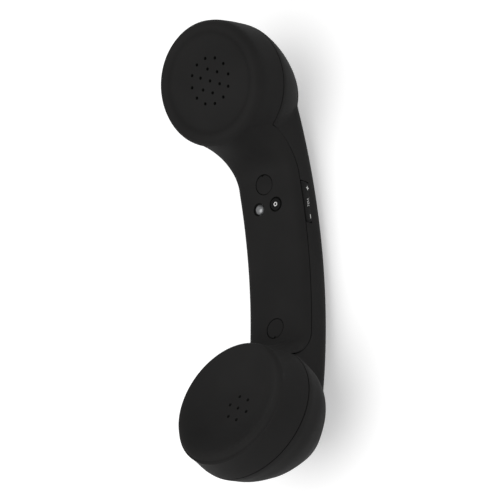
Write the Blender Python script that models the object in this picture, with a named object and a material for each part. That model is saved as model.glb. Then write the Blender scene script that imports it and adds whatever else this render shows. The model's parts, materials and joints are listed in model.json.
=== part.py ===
"""Cordless telephone handset: two moulded shells holding a receiver, a microphone and their board.

Metres, +Z up. The handset lies on its arched back with both caps facing up. +Y runs from the
mouthpiece to the earpiece, +X is the side with the volume rocker.
"""
import math

import bmesh
import bpy
from mathutils import Matrix, Vector

# Driving dimensions of the two shells
CAP_SPACING = 0.1433          # between the middles of the two hole patterns
CAP_HEIGHT = 0.0539           # hole patterns above the lowest line of the back
WALL = 0.0020
SEAM_GAP = 0.0003
FIT = 0.0003                  # clearance between pieces that touch

# Handle
HANDLE_WIDTH = 0.0316
HANDLE_THICKNESS = 0.0211
HANDLE_ARCH = 0.245           # radius of the back and of the face, seen from the side
FACE_EDGE = 0.0045            # rounding along the face
BACK_EDGE = 0.0095            # rounding along the back
SEAM_DEPTH = 0.0046           # seam below the face
ARCH_OFFSET = 0.0047          # lowest line of the arch, from the middle towards the ear

# Ear cup. Heights are above the hole plane, along the cap's axis.
EAR_TILT = math.radians(11.6)
EAR_RADIUS = 0.0272
EAR_SEAM = -0.0153
EAR_DISH = 0.0191
EAR_CREST = 0.0241
EAR_CREST_RISE = 0.0023
EAR_LEAN = 0.0010             # the cup's middle lies this far towards the handle at the hole plane
EAR_LEAN_RADIUS = 0.195       # and follows an arc of this radius further down
EAR_RIM_TAPER = 0.0003        # the rim is narrower by this much
EAR_RIM_DEPTH = 0.0030        # down to this depth
EAR_BACK = [(-0.0180, 0.0003), (-0.0240, 0.0023), (-0.0300, 0.0050), (-0.0360, 0.0083),
            (-0.0415, 0.0120), (-0.0435, 0.0145)]   # height, and how far it has drawn in

# Mouth cup
MOUTH_TILT = math.radians(19.4)
MOUTH_RIM = 0.0271
MOUTH_RADIUS = 0.0298         # at the seam
MOUTH_SEAM = -0.0082
MOUTH_DISH = 0.0080
MOUTH_CREST = 0.0252
MOUTH_CREST_RISE = 0.0066
MOUTH_SWEEP = [(0.35, 0.20), (0.64, 0.545), (0.885, 0.91)]   # shares from the dish to the crest
MOUTH_EDGE_HEIGHT = 0.0048    # of the edge between cap and wall
MOUTH_TAPER = 0.0006          # of the wall just below that edge
MOUTH_TAPER_HEIGHT = 0.0010
MOUTH_LEAN = 0.0002
MOUTH_LEAN_SLOPE = 0.180
MOUTH_LEAN_MAX = 0.0047
MOUTH_BACK = [(-0.0140, 0.0008), (-0.0200, 0.0023), (-0.0270, 0.0060), (-0.0340, 0.0124),
              (-0.0395, 0.0180)]

# Necks between the cups and the handle, measured from the middle of the handset
NECK_EAR = 0.0320             # where the face starts to rise towards the ear cup
NECK_MOUTH = -0.0362          # and towards the mouth cup
NECK_DRAFT = 0.10             # slope with which the neck leaves the cup's wall
NECK_SPREAD = 6               # the higher, the later the neck's columns drop to the seam
NECK_DROP = (0.62, 0.50)      # how far the sweep holds the wall, in the middle and at the side
NECK_RUN = (0.85, 0.42)       # and how far it holds the handle
HANDLE_END_EAR = 0.0792       # ends of the handle's back, inside the cups
HANDLE_END_MOUTH = -0.0906
END_WIDTH = 0.0006            # half width left at those ends inside the wall

# Sound holes
HOLE_RADIUS = 0.00072
EAR_RINGS = [(6, 0.0053), (12, 0.0100)]
MOUTH_RINGS = [(6, 0.0054)]

# Screw plugs on the face, and the screws under them
PLUG_EAR = 0.0316
PLUG_MOUTH = -0.0330
PLUG_RADIUS = 0.00425
PLUG_THICKNESS = 0.0015
PLUG_SPIGOT = 0.0026
NOTCH_RADIUS = 0.0007
SCREW_HEAD_RADIUS = 0.0027
SCREW_HEAD_HEIGHT = 0.0018
SCREW_RADIUS = 0.0013
SCREW_LENGTH = 0.0085
SCREW_SEAT = 0.0060           # depth of the seat below the face
SEAT_THICKNESS = 0.0015
BOSS_WALL = 0.0014
SCREW_BOSS_RADIUS = 0.0033

# Answer button and indicator, side by side on the face
CONTROL_Y = PLUG_EAR - 0.0099
CONTROL_X = 0.0046            # each side of the middle
BUTTON_RADIUS = 0.0030
BUTTON_PROUD = 0.0003
BUTTON_FLANGE = 0.0036
BUTTON_TRAVEL = 0.0003
FLANGE_THICKNESS = 0.0008
STEM_RADIUS = 0.0012
LENS_RADIUS = 0.0022
LENS_DOME = 0.0008
LENS_FLANGE = 0.0034
LENS_CHAMFER = 0.0004
LIGHT_PIPE_RADIUS = 0.0015

# Volume rocker in the side wall, just below the seam
ROCKER_Y = CONTROL_Y - 0.0005
ROCKER_LENGTH = 0.0182
ROCKER_HEIGHT = 0.0039
ROCKER_PROUD = 0.0005
ROCKER_THICKNESS = 0.0026
ROCKER_ANGLE = math.radians(2.5)
PUSHER_OFFSET = 0.0049        # of each pusher from the pivot
PUSHER_SIZE = 0.0016
WEB_THICKNESS = 0.0010        # of the web between bar and pivot
WEB_INSET = 0.0006            # of the web from the bar's top and bottom
PIVOT_RADIUS = 0.0008
PIVOT_INSET = 0.0030          # of the pivot from the outside of the wall

# Circuit board and what stands on it
BOARD_TOP = 0.0125
BOARD_THICKNESS = 0.0012
BOARD_SIDE_ROOM = 0.0029      # between the board and each side wall
BOARD_HALF_WIDTH = HANDLE_WIDTH / 2 - WALL - BOARD_SIDE_ROOM
BOARD_EAR = PLUG_EAR - 0.0020
BOARD_MOUTH = PLUG_MOUTH + 0.0042
POST_RADIUS = 0.0019
POST_INSET = 0.0018           # from the board's edge
POST_X = BOARD_HALF_WIDTH - POST_INSET
POST_EAR = ROCKER_Y           # between the two volume switches
POST_MOUTH = BOARD_MOUTH + 0.0050
SWITCH_BODY = 0.0045
SWITCH_HEIGHT = 0.0032
SWITCH_PLUNGER = 0.0006
PRESS_GAP = 0.00045           # between a key and its switch at rest
SIDE_SWITCH_LENGTH = 0.0042
SIDE_SWITCH_DEPTH = 0.0034
SIDE_SWITCH_HEIGHT = 0.0030
SIDE_PLUNGER = (0.0020, 0.0014)
LED_SIZE = (0.0035, 0.0028, 0.0019)
SOCKET_SIZE = (0.0056, 0.0075, 0.0028)
SOCKET_Y = -0.0160
SOCKET_RECESS = 0.0006        # from the wall's inner face
SOCKET_MOUTH = WALL + SOCKET_RECESS - HANDLE_WIDTH / 2
SOCKET_SKIN = 0.0003
TONGUE_THICKNESS = 0.0006
MODULE_LEFT = SOCKET_MOUTH + SOCKET_SIZE[0] + 0.0023
MODULE_RIGHT = BOARD_HALF_WIDTH - 0.0036
MODULE_LENGTH = 0.0180
MODULE_HEIGHT = 0.0022
MODULE_Y = -0.0120
CHIP_SIZE = (0.0060, 0.0060, 0.0010)
CHIP_INSET = 0.0021           # from the board's edge
CHIP_Y = 0.0050

# Battery
BATTERY_SIDE_ROOM = 0.00525   # between the cell and each side wall
BATTERY_SIZE = (HANDLE_WIDTH - 2 * WALL - 2 * BATTERY_SIDE_ROOM, 0.0400, 0.0056)
BATTERY_Y = -0.0015
BATTERY_EDGE = 0.0010
PAD_INSET = 0.0005            # from the start of the back's rounding
PAD_SIZE = (HANDLE_WIDTH - 2 * BACK_EDGE - 2 * PAD_INSET, 0.0160)
PAD_THICKNESS = 0.0010

# Receiver behind the ear cap. Depths are below the wall of the cap.
RECEIVER_RADIUS = EAR_DISH - 0.0013
RECEIVER_DEPTH = 0.0050
GASKET_WIDTH = 0.0040
GASKET_THICKNESS = 0.0010
BASKET_WALL = 0.0011
BASKET_LEDGE = 0.0018         # on which the diaphragm's edge sits
DIAPHRAGM_THICKNESS = 0.0004
DIAPHRAGM_DROP = 0.0008       # of the surround's inner edge
MAGNET_RADIUS = 0.0095
MAGNET_DEPTH = 0.0045
COLLAR_WALL = 0.0012
CLAMP_RADIUS = RECEIVER_RADIUS + 0.0048
CLAMP_OPENING = MAGNET_RADIUS + 0.0023
CLAMP_THICKNESS = 0.0012
CLAMP_SCREWS = 3
CLAMP_CIRCLE = RECEIVER_RADIUS + 0.0029
CLAMP_POST_RADIUS = 0.0020
SMALL_SCREW_RADIUS = 0.0008
SMALL_HEAD_RADIUS = 0.0017
SMALL_HEAD_HEIGHT = 0.0012
SMALL_SCREW_LENGTH = 0.0045

# Microphone behind the mouth cap
BOOT_RADIUS = 0.0080
BOOT_DEPTH = 0.0062
BOOT_FLOOR = 0.0010
CAPSULE_RADIUS = 0.00475
FOAM_THICKNESS = 0.0010

# Leads
LEAD_RADIUS = 0.0008
LEAD_STEPS = 4
LEAD_SIDES = 6
LEAD_INSET = 0.0020           # of a lead's end from the edge of the board
LEAD_RUN = 0.0110             # past the screw boss
LEAD_RISE = 0.0020
LEAD_DROP = 0.0045            # straight run behind the receiver and the microphone

# Mesh density
SIDES = 48                    # columns round a cup
ROUND_SIDES = 24              # sides of other round pieces
SMALL_SIDES = 12              # sides of small screws and their holes
NECK_COLUMNS = 5              # columns of each cup that run into the handle, each side of the middle
NECK_RANGE = range(-NECK_COLUMNS, NECK_COLUMNS + 1)
NECK_ROWS = 5
HANDLE_ROWS = 8
BACK_ROWS = 18
END_TURNS = (0.0, 0.15, 0.4, 0.7, 1.0)
CORNER_STEPS = 4
WALL_SHARES = (0.0, 0.25, 1.0)   # rows down the cups' walls
SEAM_OVERLAP = 0.0010         # the front skin is drawn this far past the seam, then cut
CREST_STEP = 0.0002           # least spacing of the rows under the rim's crest
MERGE = 0.000002              # points closer than this are joined after a Boolean


def clear_scene():
    """Empty the scene."""
    for ob in list(bpy.data.objects):
        bpy.data.objects.remove(ob, do_unlink=True)


def material(name, colour, roughness, metallic=0.0):
    """Make a Principled material."""
    mat = bpy.data.materials.new(name)
    mat.use_nodes = True
    shader = mat.node_tree.nodes["Principled BSDF"]
    shader.inputs["Base Color"].default_value = (*colour, 1.0)
    shader.inputs["Roughness"].default_value = roughness
    shader.inputs["Metallic"].default_value = metallic
    return mat


def link(name, mesh, mat=None):
    """Put a mesh into the scene as a named object."""
    ob = bpy.data.objects.new(name, mesh)
    bpy.context.scene.collection.objects.link(ob)
    if mat:
        mesh.materials.append(mat)
    return ob


def mesh_from(name, verts, faces):
    """Build a mesh whose faces point outwards."""
    mesh = bpy.data.meshes.new(name)
    mesh.from_pydata([tuple(v) for v in verts], [], faces)
    bm = bmesh.new()
    bm.from_mesh(mesh)
    bmesh.ops.recalc_face_normals(bm, faces=bm.faces)
    bm.to_mesh(mesh)
    bm.free()
    return mesh


def boolean(ob, cutter, operation):
    """Apply one exact Boolean and remove the cutter."""
    mod = ob.modifiers.new(operation, "BOOLEAN")
    mod.operation = operation
    mod.solver = "EXACT"
    mod.object = cutter
    graph = bpy.context.evaluated_depsgraph_get()
    mesh = bpy.data.meshes.new_from_object(ob.evaluated_get(graph))
    bm = bmesh.new()
    bm.from_mesh(mesh)
    bmesh.ops.remove_doubles(bm, verts=bm.verts, dist=MERGE)
    bm.to_mesh(mesh)
    bm.free()
    ob.modifiers.clear()
    ob.data = mesh
    bpy.data.objects.remove(cutter, do_unlink=True)


def lerp(a, b, t):
    return a + (b - a) * t


def interpolate(points, x):
    """Straight-line value at x of (x, y) points whose x falls."""
    for (x0, y0), (x1, y1) in zip(points, points[1:]):
        if x >= x1:
            return lerp(y0, y1, (x0 - x) / (x0 - x1))
    return points[-1][1]


class Cup:
    """One cup of the handset: a stack of circles on a leaning axis."""

    def __init__(self, sign, tilt, lean, cap, wall, back):
        self.sign = sign                                  # +1 ear, -1 mouth
        self.tilt = tilt
        self.centre = Vector((0.0, sign * CAP_SPACING / 2, CAP_HEIGHT))
        self.axis = Vector((0.0, -sign * math.sin(tilt), math.cos(tilt)))
        self.out = Vector((0.0, sign * math.cos(tilt), math.sin(tilt)))   # away from the handle
        self.side = Vector((1.0, 0.0, 0.0))
        self.lean = lean
        self.cap = cap
        self.wall = wall
        self.seam, self.radius = wall[-1]
        self.back = [(height, self.radius - drawn) for height, drawn in back]

    def point(self, angle, radius, height, lean=None):
        """Point on a circle; angle 0 is the far end, pi faces the handle."""
        shift = self.lean(height) if lean is None else lean
        return (self.centre + self.axis * height - self.out * shift
                + (self.out * math.cos(angle) + self.side * math.sin(angle)) * radius)

    def wall_point(self, angle, height, inset=0.0):
        """Point on the cup's side wall."""
        return self.point(angle, interpolate(self.wall + self.back, height) - inset, height)

    def cap_inside(self):
        """The cap's rows moved in by the wall, kept in order under the crest of the rim."""
        rows = [(0.0, 0.0)] + self.cap + [self.wall[0][::-1]]
        limit = self.wall[0][1] - WALL
        crest = max(range(len(rows)), key=lambda i: rows[i][1])
        inside = []
        for i in range(1, len(rows) - 1):
            run = rows[i + 1][0] - rows[i - 1][0]
            rise = rows[i + 1][1] - rows[i - 1][1]
            length = math.hypot(run, rise)
            radius = rows[i][0] + WALL * rise / length
            height = rows[i][1] - WALL * run / length
            inside.append([min(radius, limit - (len(rows) - 1 - i) * CREST_STEP), height])
            if i > crest:
                inside[-1][1] = min(height, inside[-2][1] - CREST_STEP)
        return inside

    def leave(self, column):
        """Height at which a column of the neck leaves the wall."""
        top = self.wall[0][0]
        share = abs(column) / NECK_COLUMNS
        return lerp(top, self.seam - SEAM_OVERLAP, share ** NECK_SPREAD)


def ear_lean(height):
    below = min(height, 0.0)
    return EAR_LEAN + below * below / (2 * EAR_LEAN_RADIUS)


def mouth_lean(height):
    return min(MOUTH_LEAN - MOUTH_LEAN_SLOPE * height, MOUTH_LEAN_MAX)


EAR = Cup(1, EAR_TILT, ear_lean,
          cap=[(0.55 * EAR_DISH, 0.0), (EAR_DISH, 0.0),
               (lerp(EAR_DISH, EAR_CREST, 0.65), EAR_CREST_RISE * 0.78), (EAR_CREST, EAR_CREST_RISE),
               (lerp(EAR_CREST, EAR_RADIUS, 0.50), EAR_CREST_RISE * 0.75)],
          wall=[(0.0, EAR_RADIUS - EAR_RIM_TAPER), (-EAR_RIM_DEPTH, EAR_RADIUS), (EAR_SEAM, EAR_RADIUS)],
          back=EAR_BACK)
MOUTH = Cup(-1, MOUTH_TILT, mouth_lean,
            cap=[(MOUTH_DISH, 0.0)]
            + [(lerp(MOUTH_DISH, MOUTH_CREST, out), MOUTH_CREST_RISE * up) for out, up in MOUTH_SWEEP]
            + [(MOUTH_CREST, MOUTH_CREST_RISE),
               (lerp(MOUTH_CREST, MOUTH_RIM, 0.68), MOUTH_CREST_RISE * 0.91)],
            wall=[(MOUTH_EDGE_HEIGHT, MOUTH_RIM), (MOUTH_TAPER_HEIGHT, MOUTH_RIM + MOUTH_TAPER),
                  (MOUTH_SEAM, MOUTH_RADIUS)],
            back=MOUTH_BACK)


def arch(y):
    """Rise of the arched handle above its lowest line."""
    return HANDLE_ARCH - math.sqrt(HANDLE_ARCH ** 2 - (y - ARCH_OFFSET) ** 2)


def face_height(y):
    return HANDLE_THICKNESS + arch(y)


def seam_height(y):
    return face_height(y) - SEAM_DEPTH


def bezier(p0, p1, p2, p3, t):
    u = 1 - t
    return p0 * u ** 3 + p1 * (3 * u * u * t) + p2 * (3 * u * t * t) + p3 * t ** 3


def tip(cup):
    """Point where the seam of the cup turns down to the handle."""
    half = math.pi * (1 - 2 * NECK_COLUMNS / SIDES) + SEAM_OVERLAP / interpolate(cup.wall, cup.seam)
    return cup.wall_point(half, cup.seam)


def neck_curve(cup, start, end, share):
    """Curve from the wall of a cup to the handle, as Bezier control points."""
    drop = start.z - end.z
    run = abs(start.y - end.y)
    down = Vector((0.0, -cup.sign * NECK_DRAFT, -1.0)).normalized()
    pull = Vector((0.0, cup.sign, 0.0))
    leaving = start + down * drop * lerp(*NECK_DROP, share)
    arriving = end + pull * run * lerp(*NECK_RUN, share)
    return start, leaving, arriving, end


def neck_end(cup):
    return NECK_EAR if cup.sign > 0 else NECK_MOUTH


def seam_line(offset=0.0):
    """Side view of the seam from the far end of the ear to that of the mouth, as (y, z)."""
    points = []
    for cup in (EAR, MOUTH):
        corner = tip(cup)
        far = corner + cup.out * 3 * cup.radius
        end = Vector((HANDLE_WIDTH / 2, neck_end(cup), seam_height(neck_end(cup))))
        curve = neck_curve(cup, corner, end, 1.0)
        part = [far] + [bezier(*curve, i / NECK_ROWS) for i in range(NECK_ROWS + 1)]
        points.append(part)
    middle = [Vector((0, y, seam_height(y))) for y in handle_stations()[1:-1]]
    line = [Vector((p.y, p.z)) for p in points[0] + middle + points[1][::-1]]
    if not offset:
        return line
    moved = []
    for i, p in enumerate(line):
        before = (p - line[i - 1]).normalized() if i else None
        after = (line[i + 1] - p).normalized() if i + 1 < len(line) else None
        normals = [Vector((-d.y, d.x)) for d in (before, after) if d is not None]
        normal = sum(normals, Vector((0, 0))).normalized()
        moved.append(p + normal * (offset / normal.dot(normals[0])))
    return moved


def handle_stations():
    return [lerp(NECK_EAR, NECK_MOUTH, i / HANDLE_ROWS) for i in range(HANDLE_ROWS + 1)]


def face_point(column, y):
    """Point of the handle's face: flat columns, rounded edge columns, then the side wall."""
    sign = -1 if column < 0 else 1
    k = abs(column)
    flat = HANDLE_WIDTH / 2 - FACE_EDGE
    if k <= 2:
        return Vector((column / 2 * flat, y, face_height(y)))
    if k < NECK_COLUMNS:
        turn = (k - 2) * math.pi / 2 / (NECK_COLUMNS - 2.5)
        return Vector((sign * (flat + FACE_EDGE * math.sin(turn)), y,
                       face_height(y) - FACE_EDGE * (1 - math.cos(turn))))
    return Vector((sign * HANDLE_WIDTH / 2, y, seam_height(y) - SEAM_OVERLAP))


def front_skin():
    """Skin of the front shell: both caps and the handle's face as one sheet of quads.

    Returns the outer points, their faces, and the matching inner points of both cups;
    the inner points of the neck and handle follow from the sheet's normals.
    """
    outer = []
    inner = []
    faces = []

    def add(point, inside=None):
        outer.append(point)
        inner.append(inside)
        return len(outer) - 1

    borders = {}
    for cup in (EAR, MOUTH):
        centre = add(cup.point(0.0, 0.0, 0.0, 0.0), cup.point(0.0, 0.0, -WALL, 0.0))
        inside = cup.cap_inside()
        columns = []
        for k in range(SIDES):
            angle = 2 * math.pi * k / SIDES
            facing = k - SIDES // 2
            in_neck = abs(facing) <= NECK_COLUMNS
            low = cup.leave(facing) if in_neck else cup.seam - SEAM_OVERLAP
            column = []
            for (radius, height), (radius_in, height_in) in zip(cup.cap, inside):
                lean = cup.lean(0.0) * min(1.0, radius / cup.cap[-2][0])
                column.append(add(cup.point(angle, radius, height, lean),
                                  cup.point(angle, radius_in, height_in, lean)))
            top = cup.wall[0][0]
            top_in = min(top, inside[-1][1] - CREST_STEP)
            low_in = min(low, top_in - 3 * CREST_STEP)
            for share in WALL_SHARES:
                if facing == 0 and share > 0:
                    break
                column.append(add(cup.wall_point(angle, lerp(top, low, share)),
                                  cup.wall_point(angle, lerp(top_in, low_in, share), WALL)))
            columns.append(column)
        for k in range(SIDES):
            a, b = columns[k], columns[(k + 1) % SIDES]
            faces.append((centre, a[0], b[0]))
            for i in range(max(len(a), len(b)) - 1):
                quad = [a[min(i, len(a) - 1)], a[min(i + 1, len(a) - 1)],
                        b[min(i + 1, len(b) - 1)], b[min(i, len(b) - 1)]]
                face = list(dict.fromkeys(quad))
                if len(face) > 2:
                    faces.append(tuple(face))
        borders[cup.sign] = [columns[SIDES // 2 - c][-1] for c in NECK_RANGE]

    grid = []
    for cup in (EAR, MOUTH):
        rows = [borders[cup.sign]]
        for i in range(1, NECK_ROWS):
            row = []
            for c, first in zip(NECK_RANGE, borders[cup.sign]):
                curve = neck_curve(cup, outer[first], face_point(c, neck_end(cup)), abs(c) / NECK_COLUMNS)
                row.append(add(bezier(*curve, i / NECK_ROWS)))
            rows.append(row)
        grid.append(rows)
    middle = [[add(face_point(c, y)) for c in NECK_RANGE] for y in handle_stations()]
    rows = grid[0] + middle + grid[1][::-1]
    for a, b in zip(rows, rows[1:]):
        for n in range(2 * NECK_COLUMNS):
            faces.append((a[n], a[n + 1], b[n + 1], b[n]))
    return outer, faces, inner


def thicken(name, outer, faces, inner):
    """Close a sheet into a wall: inner points, reversed inner faces and a rim."""
    sheet = mesh_from(name, outer, faces)
    if sum(face.normal.z * face.area for face in sheet.polygons) < 0:
        sheet.flip_normals()
    count = len(outer)
    under = [point if point is not None else vertex.co - vertex.normal * WALL
             for point, vertex in zip(inner, sheet.vertices)]
    polygons = [tuple(face.vertices) for face in sheet.polygons]
    edges = [(a, b) for face in polygons for a, b in zip(face, face[1:] + face[:1])]
    border = set(edges) - {(b, a) for a, b in edges}
    solid = polygons + [tuple(count + i for i in reversed(face)) for face in polygons]
    solid += [(b, a, count + a, count + b) for a, b in sorted(border)]
    bpy.data.meshes.remove(sheet)
    return mesh_from(name, outer + under, solid)


def slab(name, line, level):
    """Solid between the seam line and a level plane, wider than the handset."""
    half = 2 * MOUTH_RADIUS
    outline = line + [Vector((line[-1].x, level)), Vector((line[0].x, level))]
    verts = [Vector((x, p.x, p.y)) for x in (-half, half) for p in outline]
    n = len(outline)
    faces = [tuple(range(n)), tuple(range(2 * n - 1, n - 1, -1))]
    faces += [(i, (i + 1) % n, n + (i + 1) % n, n + i) for i in range(n)]
    return link(name, mesh_from(name, verts, faces))


def loft(name, rings):
    """Closed solid through rings of equally many points, with a fan over each end."""
    n = len(rings[0])
    verts = [point for ring in rings for point in ring]
    faces = []
    for j in range(len(rings) - 1):
        for k in range(n):
            m = (k + 1) % n
            faces.append((j * n + k, j * n + m, (j + 1) * n + m, (j + 1) * n + k))
    for ring, first in ((rings[0], 0), (rings[-1], len(verts) - n)):
        verts.append(sum(ring, Vector()) / n)
        faces += [(first + k, first + (k + 1) % n, len(verts) - 1) for k in range(n)]
    return link(name, mesh_from(name, verts, faces))


def cup_solid(name, cup, inset):
    """Closed stack of circles from above the seam to the cup's back."""
    heights = [cup.seam + 0.006, cup.seam] + [height for height, _ in cup.back]
    rings = []
    for height in heights:
        lift = inset if height == heights[-1] else 0.0
        radius = interpolate(cup.wall + cup.back, height) - inset
        rings.append([cup.point(2 * math.pi * k / SIDES, radius, height + lift, cup.lean(height))
                      for k in range(SIDES)])
    return loft(name, rings)


def handle_solid(name, inset):
    """Back of the handle as a loft of sections with rounded lower corners and rounded ends."""
    half = HANDLE_WIDTH / 2
    low = HANDLE_END_MOUTH + inset
    high = HANDLE_END_EAR - inset
    turn = half - WALL - END_WIDTH
    ends = [(turn * (1 - math.cos(a)), turn * (1 - math.sin(a)))
            for a in (math.pi / 2 * t for t in END_TURNS)]
    straight = [lerp(low + turn, high - turn, i / BACK_ROWS) for i in range(1, BACK_ROWS)]
    sections = ([(low + run, half - inset - narrow) for run, narrow in ends]
                + [(y, half - inset) for y in straight]
                + [(high - run, half - inset - narrow) for run, narrow in reversed(ends)])
    corners = [math.pi / 2 * s / CORNER_STEPS for s in range(CORNER_STEPS + 1)]
    rings = []
    for y, width in sections:
        bottom = arch(y) + inset
        radius = min(BACK_EDGE - inset, width * 0.95)
        top = seam_height(y) + SEAM_DEPTH
        if y > NECK_EAR or y < NECK_MOUTH:
            top += HANDLE_THICKNESS / 2
        left = [Vector((radius - width - radius * math.cos(a), y, bottom + radius - radius * math.sin(a)))
                for a in corners]
        right = [Vector((-p.x, y, p.z)) for p in reversed(left)]
        rings.append([Vector((-width, y, top))] + left + right + [Vector((width, y, top))])
    return loft(name, rings)


def turned(name, frame, profile, sides=ROUND_SIDES, mat=None):
    """Solid of revolution about the frame's Z from (radius, height) points, bottom to top."""
    rings = [[Vector((radius * math.cos(2 * math.pi * k / sides), radius * math.sin(2 * math.pi * k / sides),
                      height)) for k in range(sides)] for radius, height in profile if radius > 0]
    ob = loft(name, rings)
    ends = [height for radius, height in (profile[0], profile[-1])]
    ob.data.vertices[-2].co.z = ends[0]
    ob.data.vertices[-1].co.z = ends[1]
    ob.matrix_world = frame
    if mat:
        ob.data.materials.append(mat)
    return ob


def pipe(name, frame, outer, inner, low, high, sides=ROUND_SIDES, mat=None):
    """Ring with a square section about the frame's Z."""
    rings = [[Vector((radius * math.cos(2 * math.pi * k / sides), radius * math.sin(2 * math.pi * k / sides),
                      height)) for k in range(sides)]
             for radius, height in ((outer, low), (outer, high), (inner, high), (inner, low))]
    verts = [point for ring in rings for point in ring]
    faces = [(j * sides + k, j * sides + (k + 1) % sides, (j + 1) % 4 * sides + (k + 1) % sides,
              (j + 1) % 4 * sides + k) for j in range(4) for k in range(sides)]
    ob = link(name, mesh_from(name, verts, faces), mat)
    ob.matrix_world = frame
    return ob


def rod(name, frame, radius, low, high, sides=16, mat=None):
    return turned(name, frame, [(radius, low), (radius, high)], sides, mat)


def block(name, frame, size, low, mat=None):
    """Box centred on the frame's Z, standing on the height low."""
    x, y, z = size
    verts = [Vector((i * x / 2, j * y / 2, low + k * z)) for k in (0, 1) for j in (-1, 1) for i in (-1, 1)]
    faces = [(0, 1, 3, 2), (4, 5, 7, 6), (0, 1, 5, 4), (2, 3, 7, 6), (0, 2, 6, 4), (1, 3, 7, 5)]
    ob = link(name, mesh_from(name, verts, faces), mat)
    ob.matrix_world = frame
    return ob


def face_frame(x, y):
    """Frame on the handle's face, Z along its normal."""
    slope = math.asin((y - ARCH_OFFSET) / HANDLE_ARCH)
    return Matrix.Translation((x, y, face_height(y))) @ Matrix.Rotation(slope, 4, "X")


def cap_frame(cup):
    """Frame in the middle of a cap's holes, Z along the cap's axis."""
    return Matrix.Translation(cup.centre) @ Matrix.Rotation(cup.sign * cup.tilt, 4, "X")


def place(x, y, z=0.0):
    return Matrix.Translation((x, y, z))


def floor_height(y):
    """Inside of the back at the handle."""
    return WALL + arch(y)


def plug_frames():
    return {"ear": face_frame(0.0, PLUG_EAR), "mouth": face_frame(0.0, PLUG_MOUTH)}


def clamp_frames():
    return [cap_frame(EAR) @ Matrix.Rotation(2 * math.pi * (k + 0.5) / CLAMP_SCREWS, 4, "Z")
            @ place(CLAMP_CIRCLE, 0.0) for k in range(CLAMP_SCREWS)]


# Heights of the volume rocker, hanging just below the seam
ROCKER_TOP = seam_height(ROCKER_Y - ROCKER_LENGTH / 2) - FIT
ROCKER_BOTTOM = ROCKER_TOP - ROCKER_HEIGHT

# Levels along the cap's axis, from the inside of the cap down
GASKET_TOP = -WALL - FIT
FRAME_TOP = GASKET_TOP - GASKET_THICKNESS - FIT
FRAME_BACK = FRAME_TOP - RECEIVER_DEPTH
CLAMP_TOP = FRAME_BACK - FIT
CLAMP_BACK = CLAMP_TOP - CLAMP_THICKNESS
FOAM_TOP = -WALL - FIT
BOOT_TOP = FOAM_TOP - FOAM_THICKNESS - FIT
BOOT_BACK = BOOT_TOP - BOOT_DEPTH

# Levels below the face at a screw plug
RECESS_DEPTH = PLUG_THICKNESS + FIT
SEAT_BACK = SCREW_SEAT + SEAT_THICKNESS
HEAD_BORE = SCREW_HEAD_RADIUS + 2 * FIT
PILOT_RADIUS = SCREW_RADIUS + FIT
FLANGE_TOP = -WALL - FIT


def cut_sound_holes(ob, cup, rings):
    frame = cap_frame(cup)
    spots = [(0.0, 0.0)]
    for count, radius in rings:
        spots += [(radius * math.sin(2 * math.pi * k / count), radius * math.cos(2 * math.pi * k / count))
                  for k in range(count)]
    verts = []
    faces = []
    sides = 8
    for x, y in spots:
        first = len(verts)
        for z in (-2 * WALL, WALL):
            verts += [frame @ Vector((x + HOLE_RADIUS * math.cos(2 * math.pi * k / sides),
                                      y + HOLE_RADIUS * math.sin(2 * math.pi * k / sides), z))
                      for k in range(sides)]
        faces.append(tuple(range(first + sides - 1, first - 1, -1)))
        faces.append(tuple(range(first + sides, first + 2 * sides)))
        faces += [(first + k, first + (k + 1) % sides, first + sides + (k + 1) % sides, first + sides + k)
                  for k in range(sides)]
    boolean(ob, link("holes", mesh_from("holes", verts, faces)), "DIFFERENCE")


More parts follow.
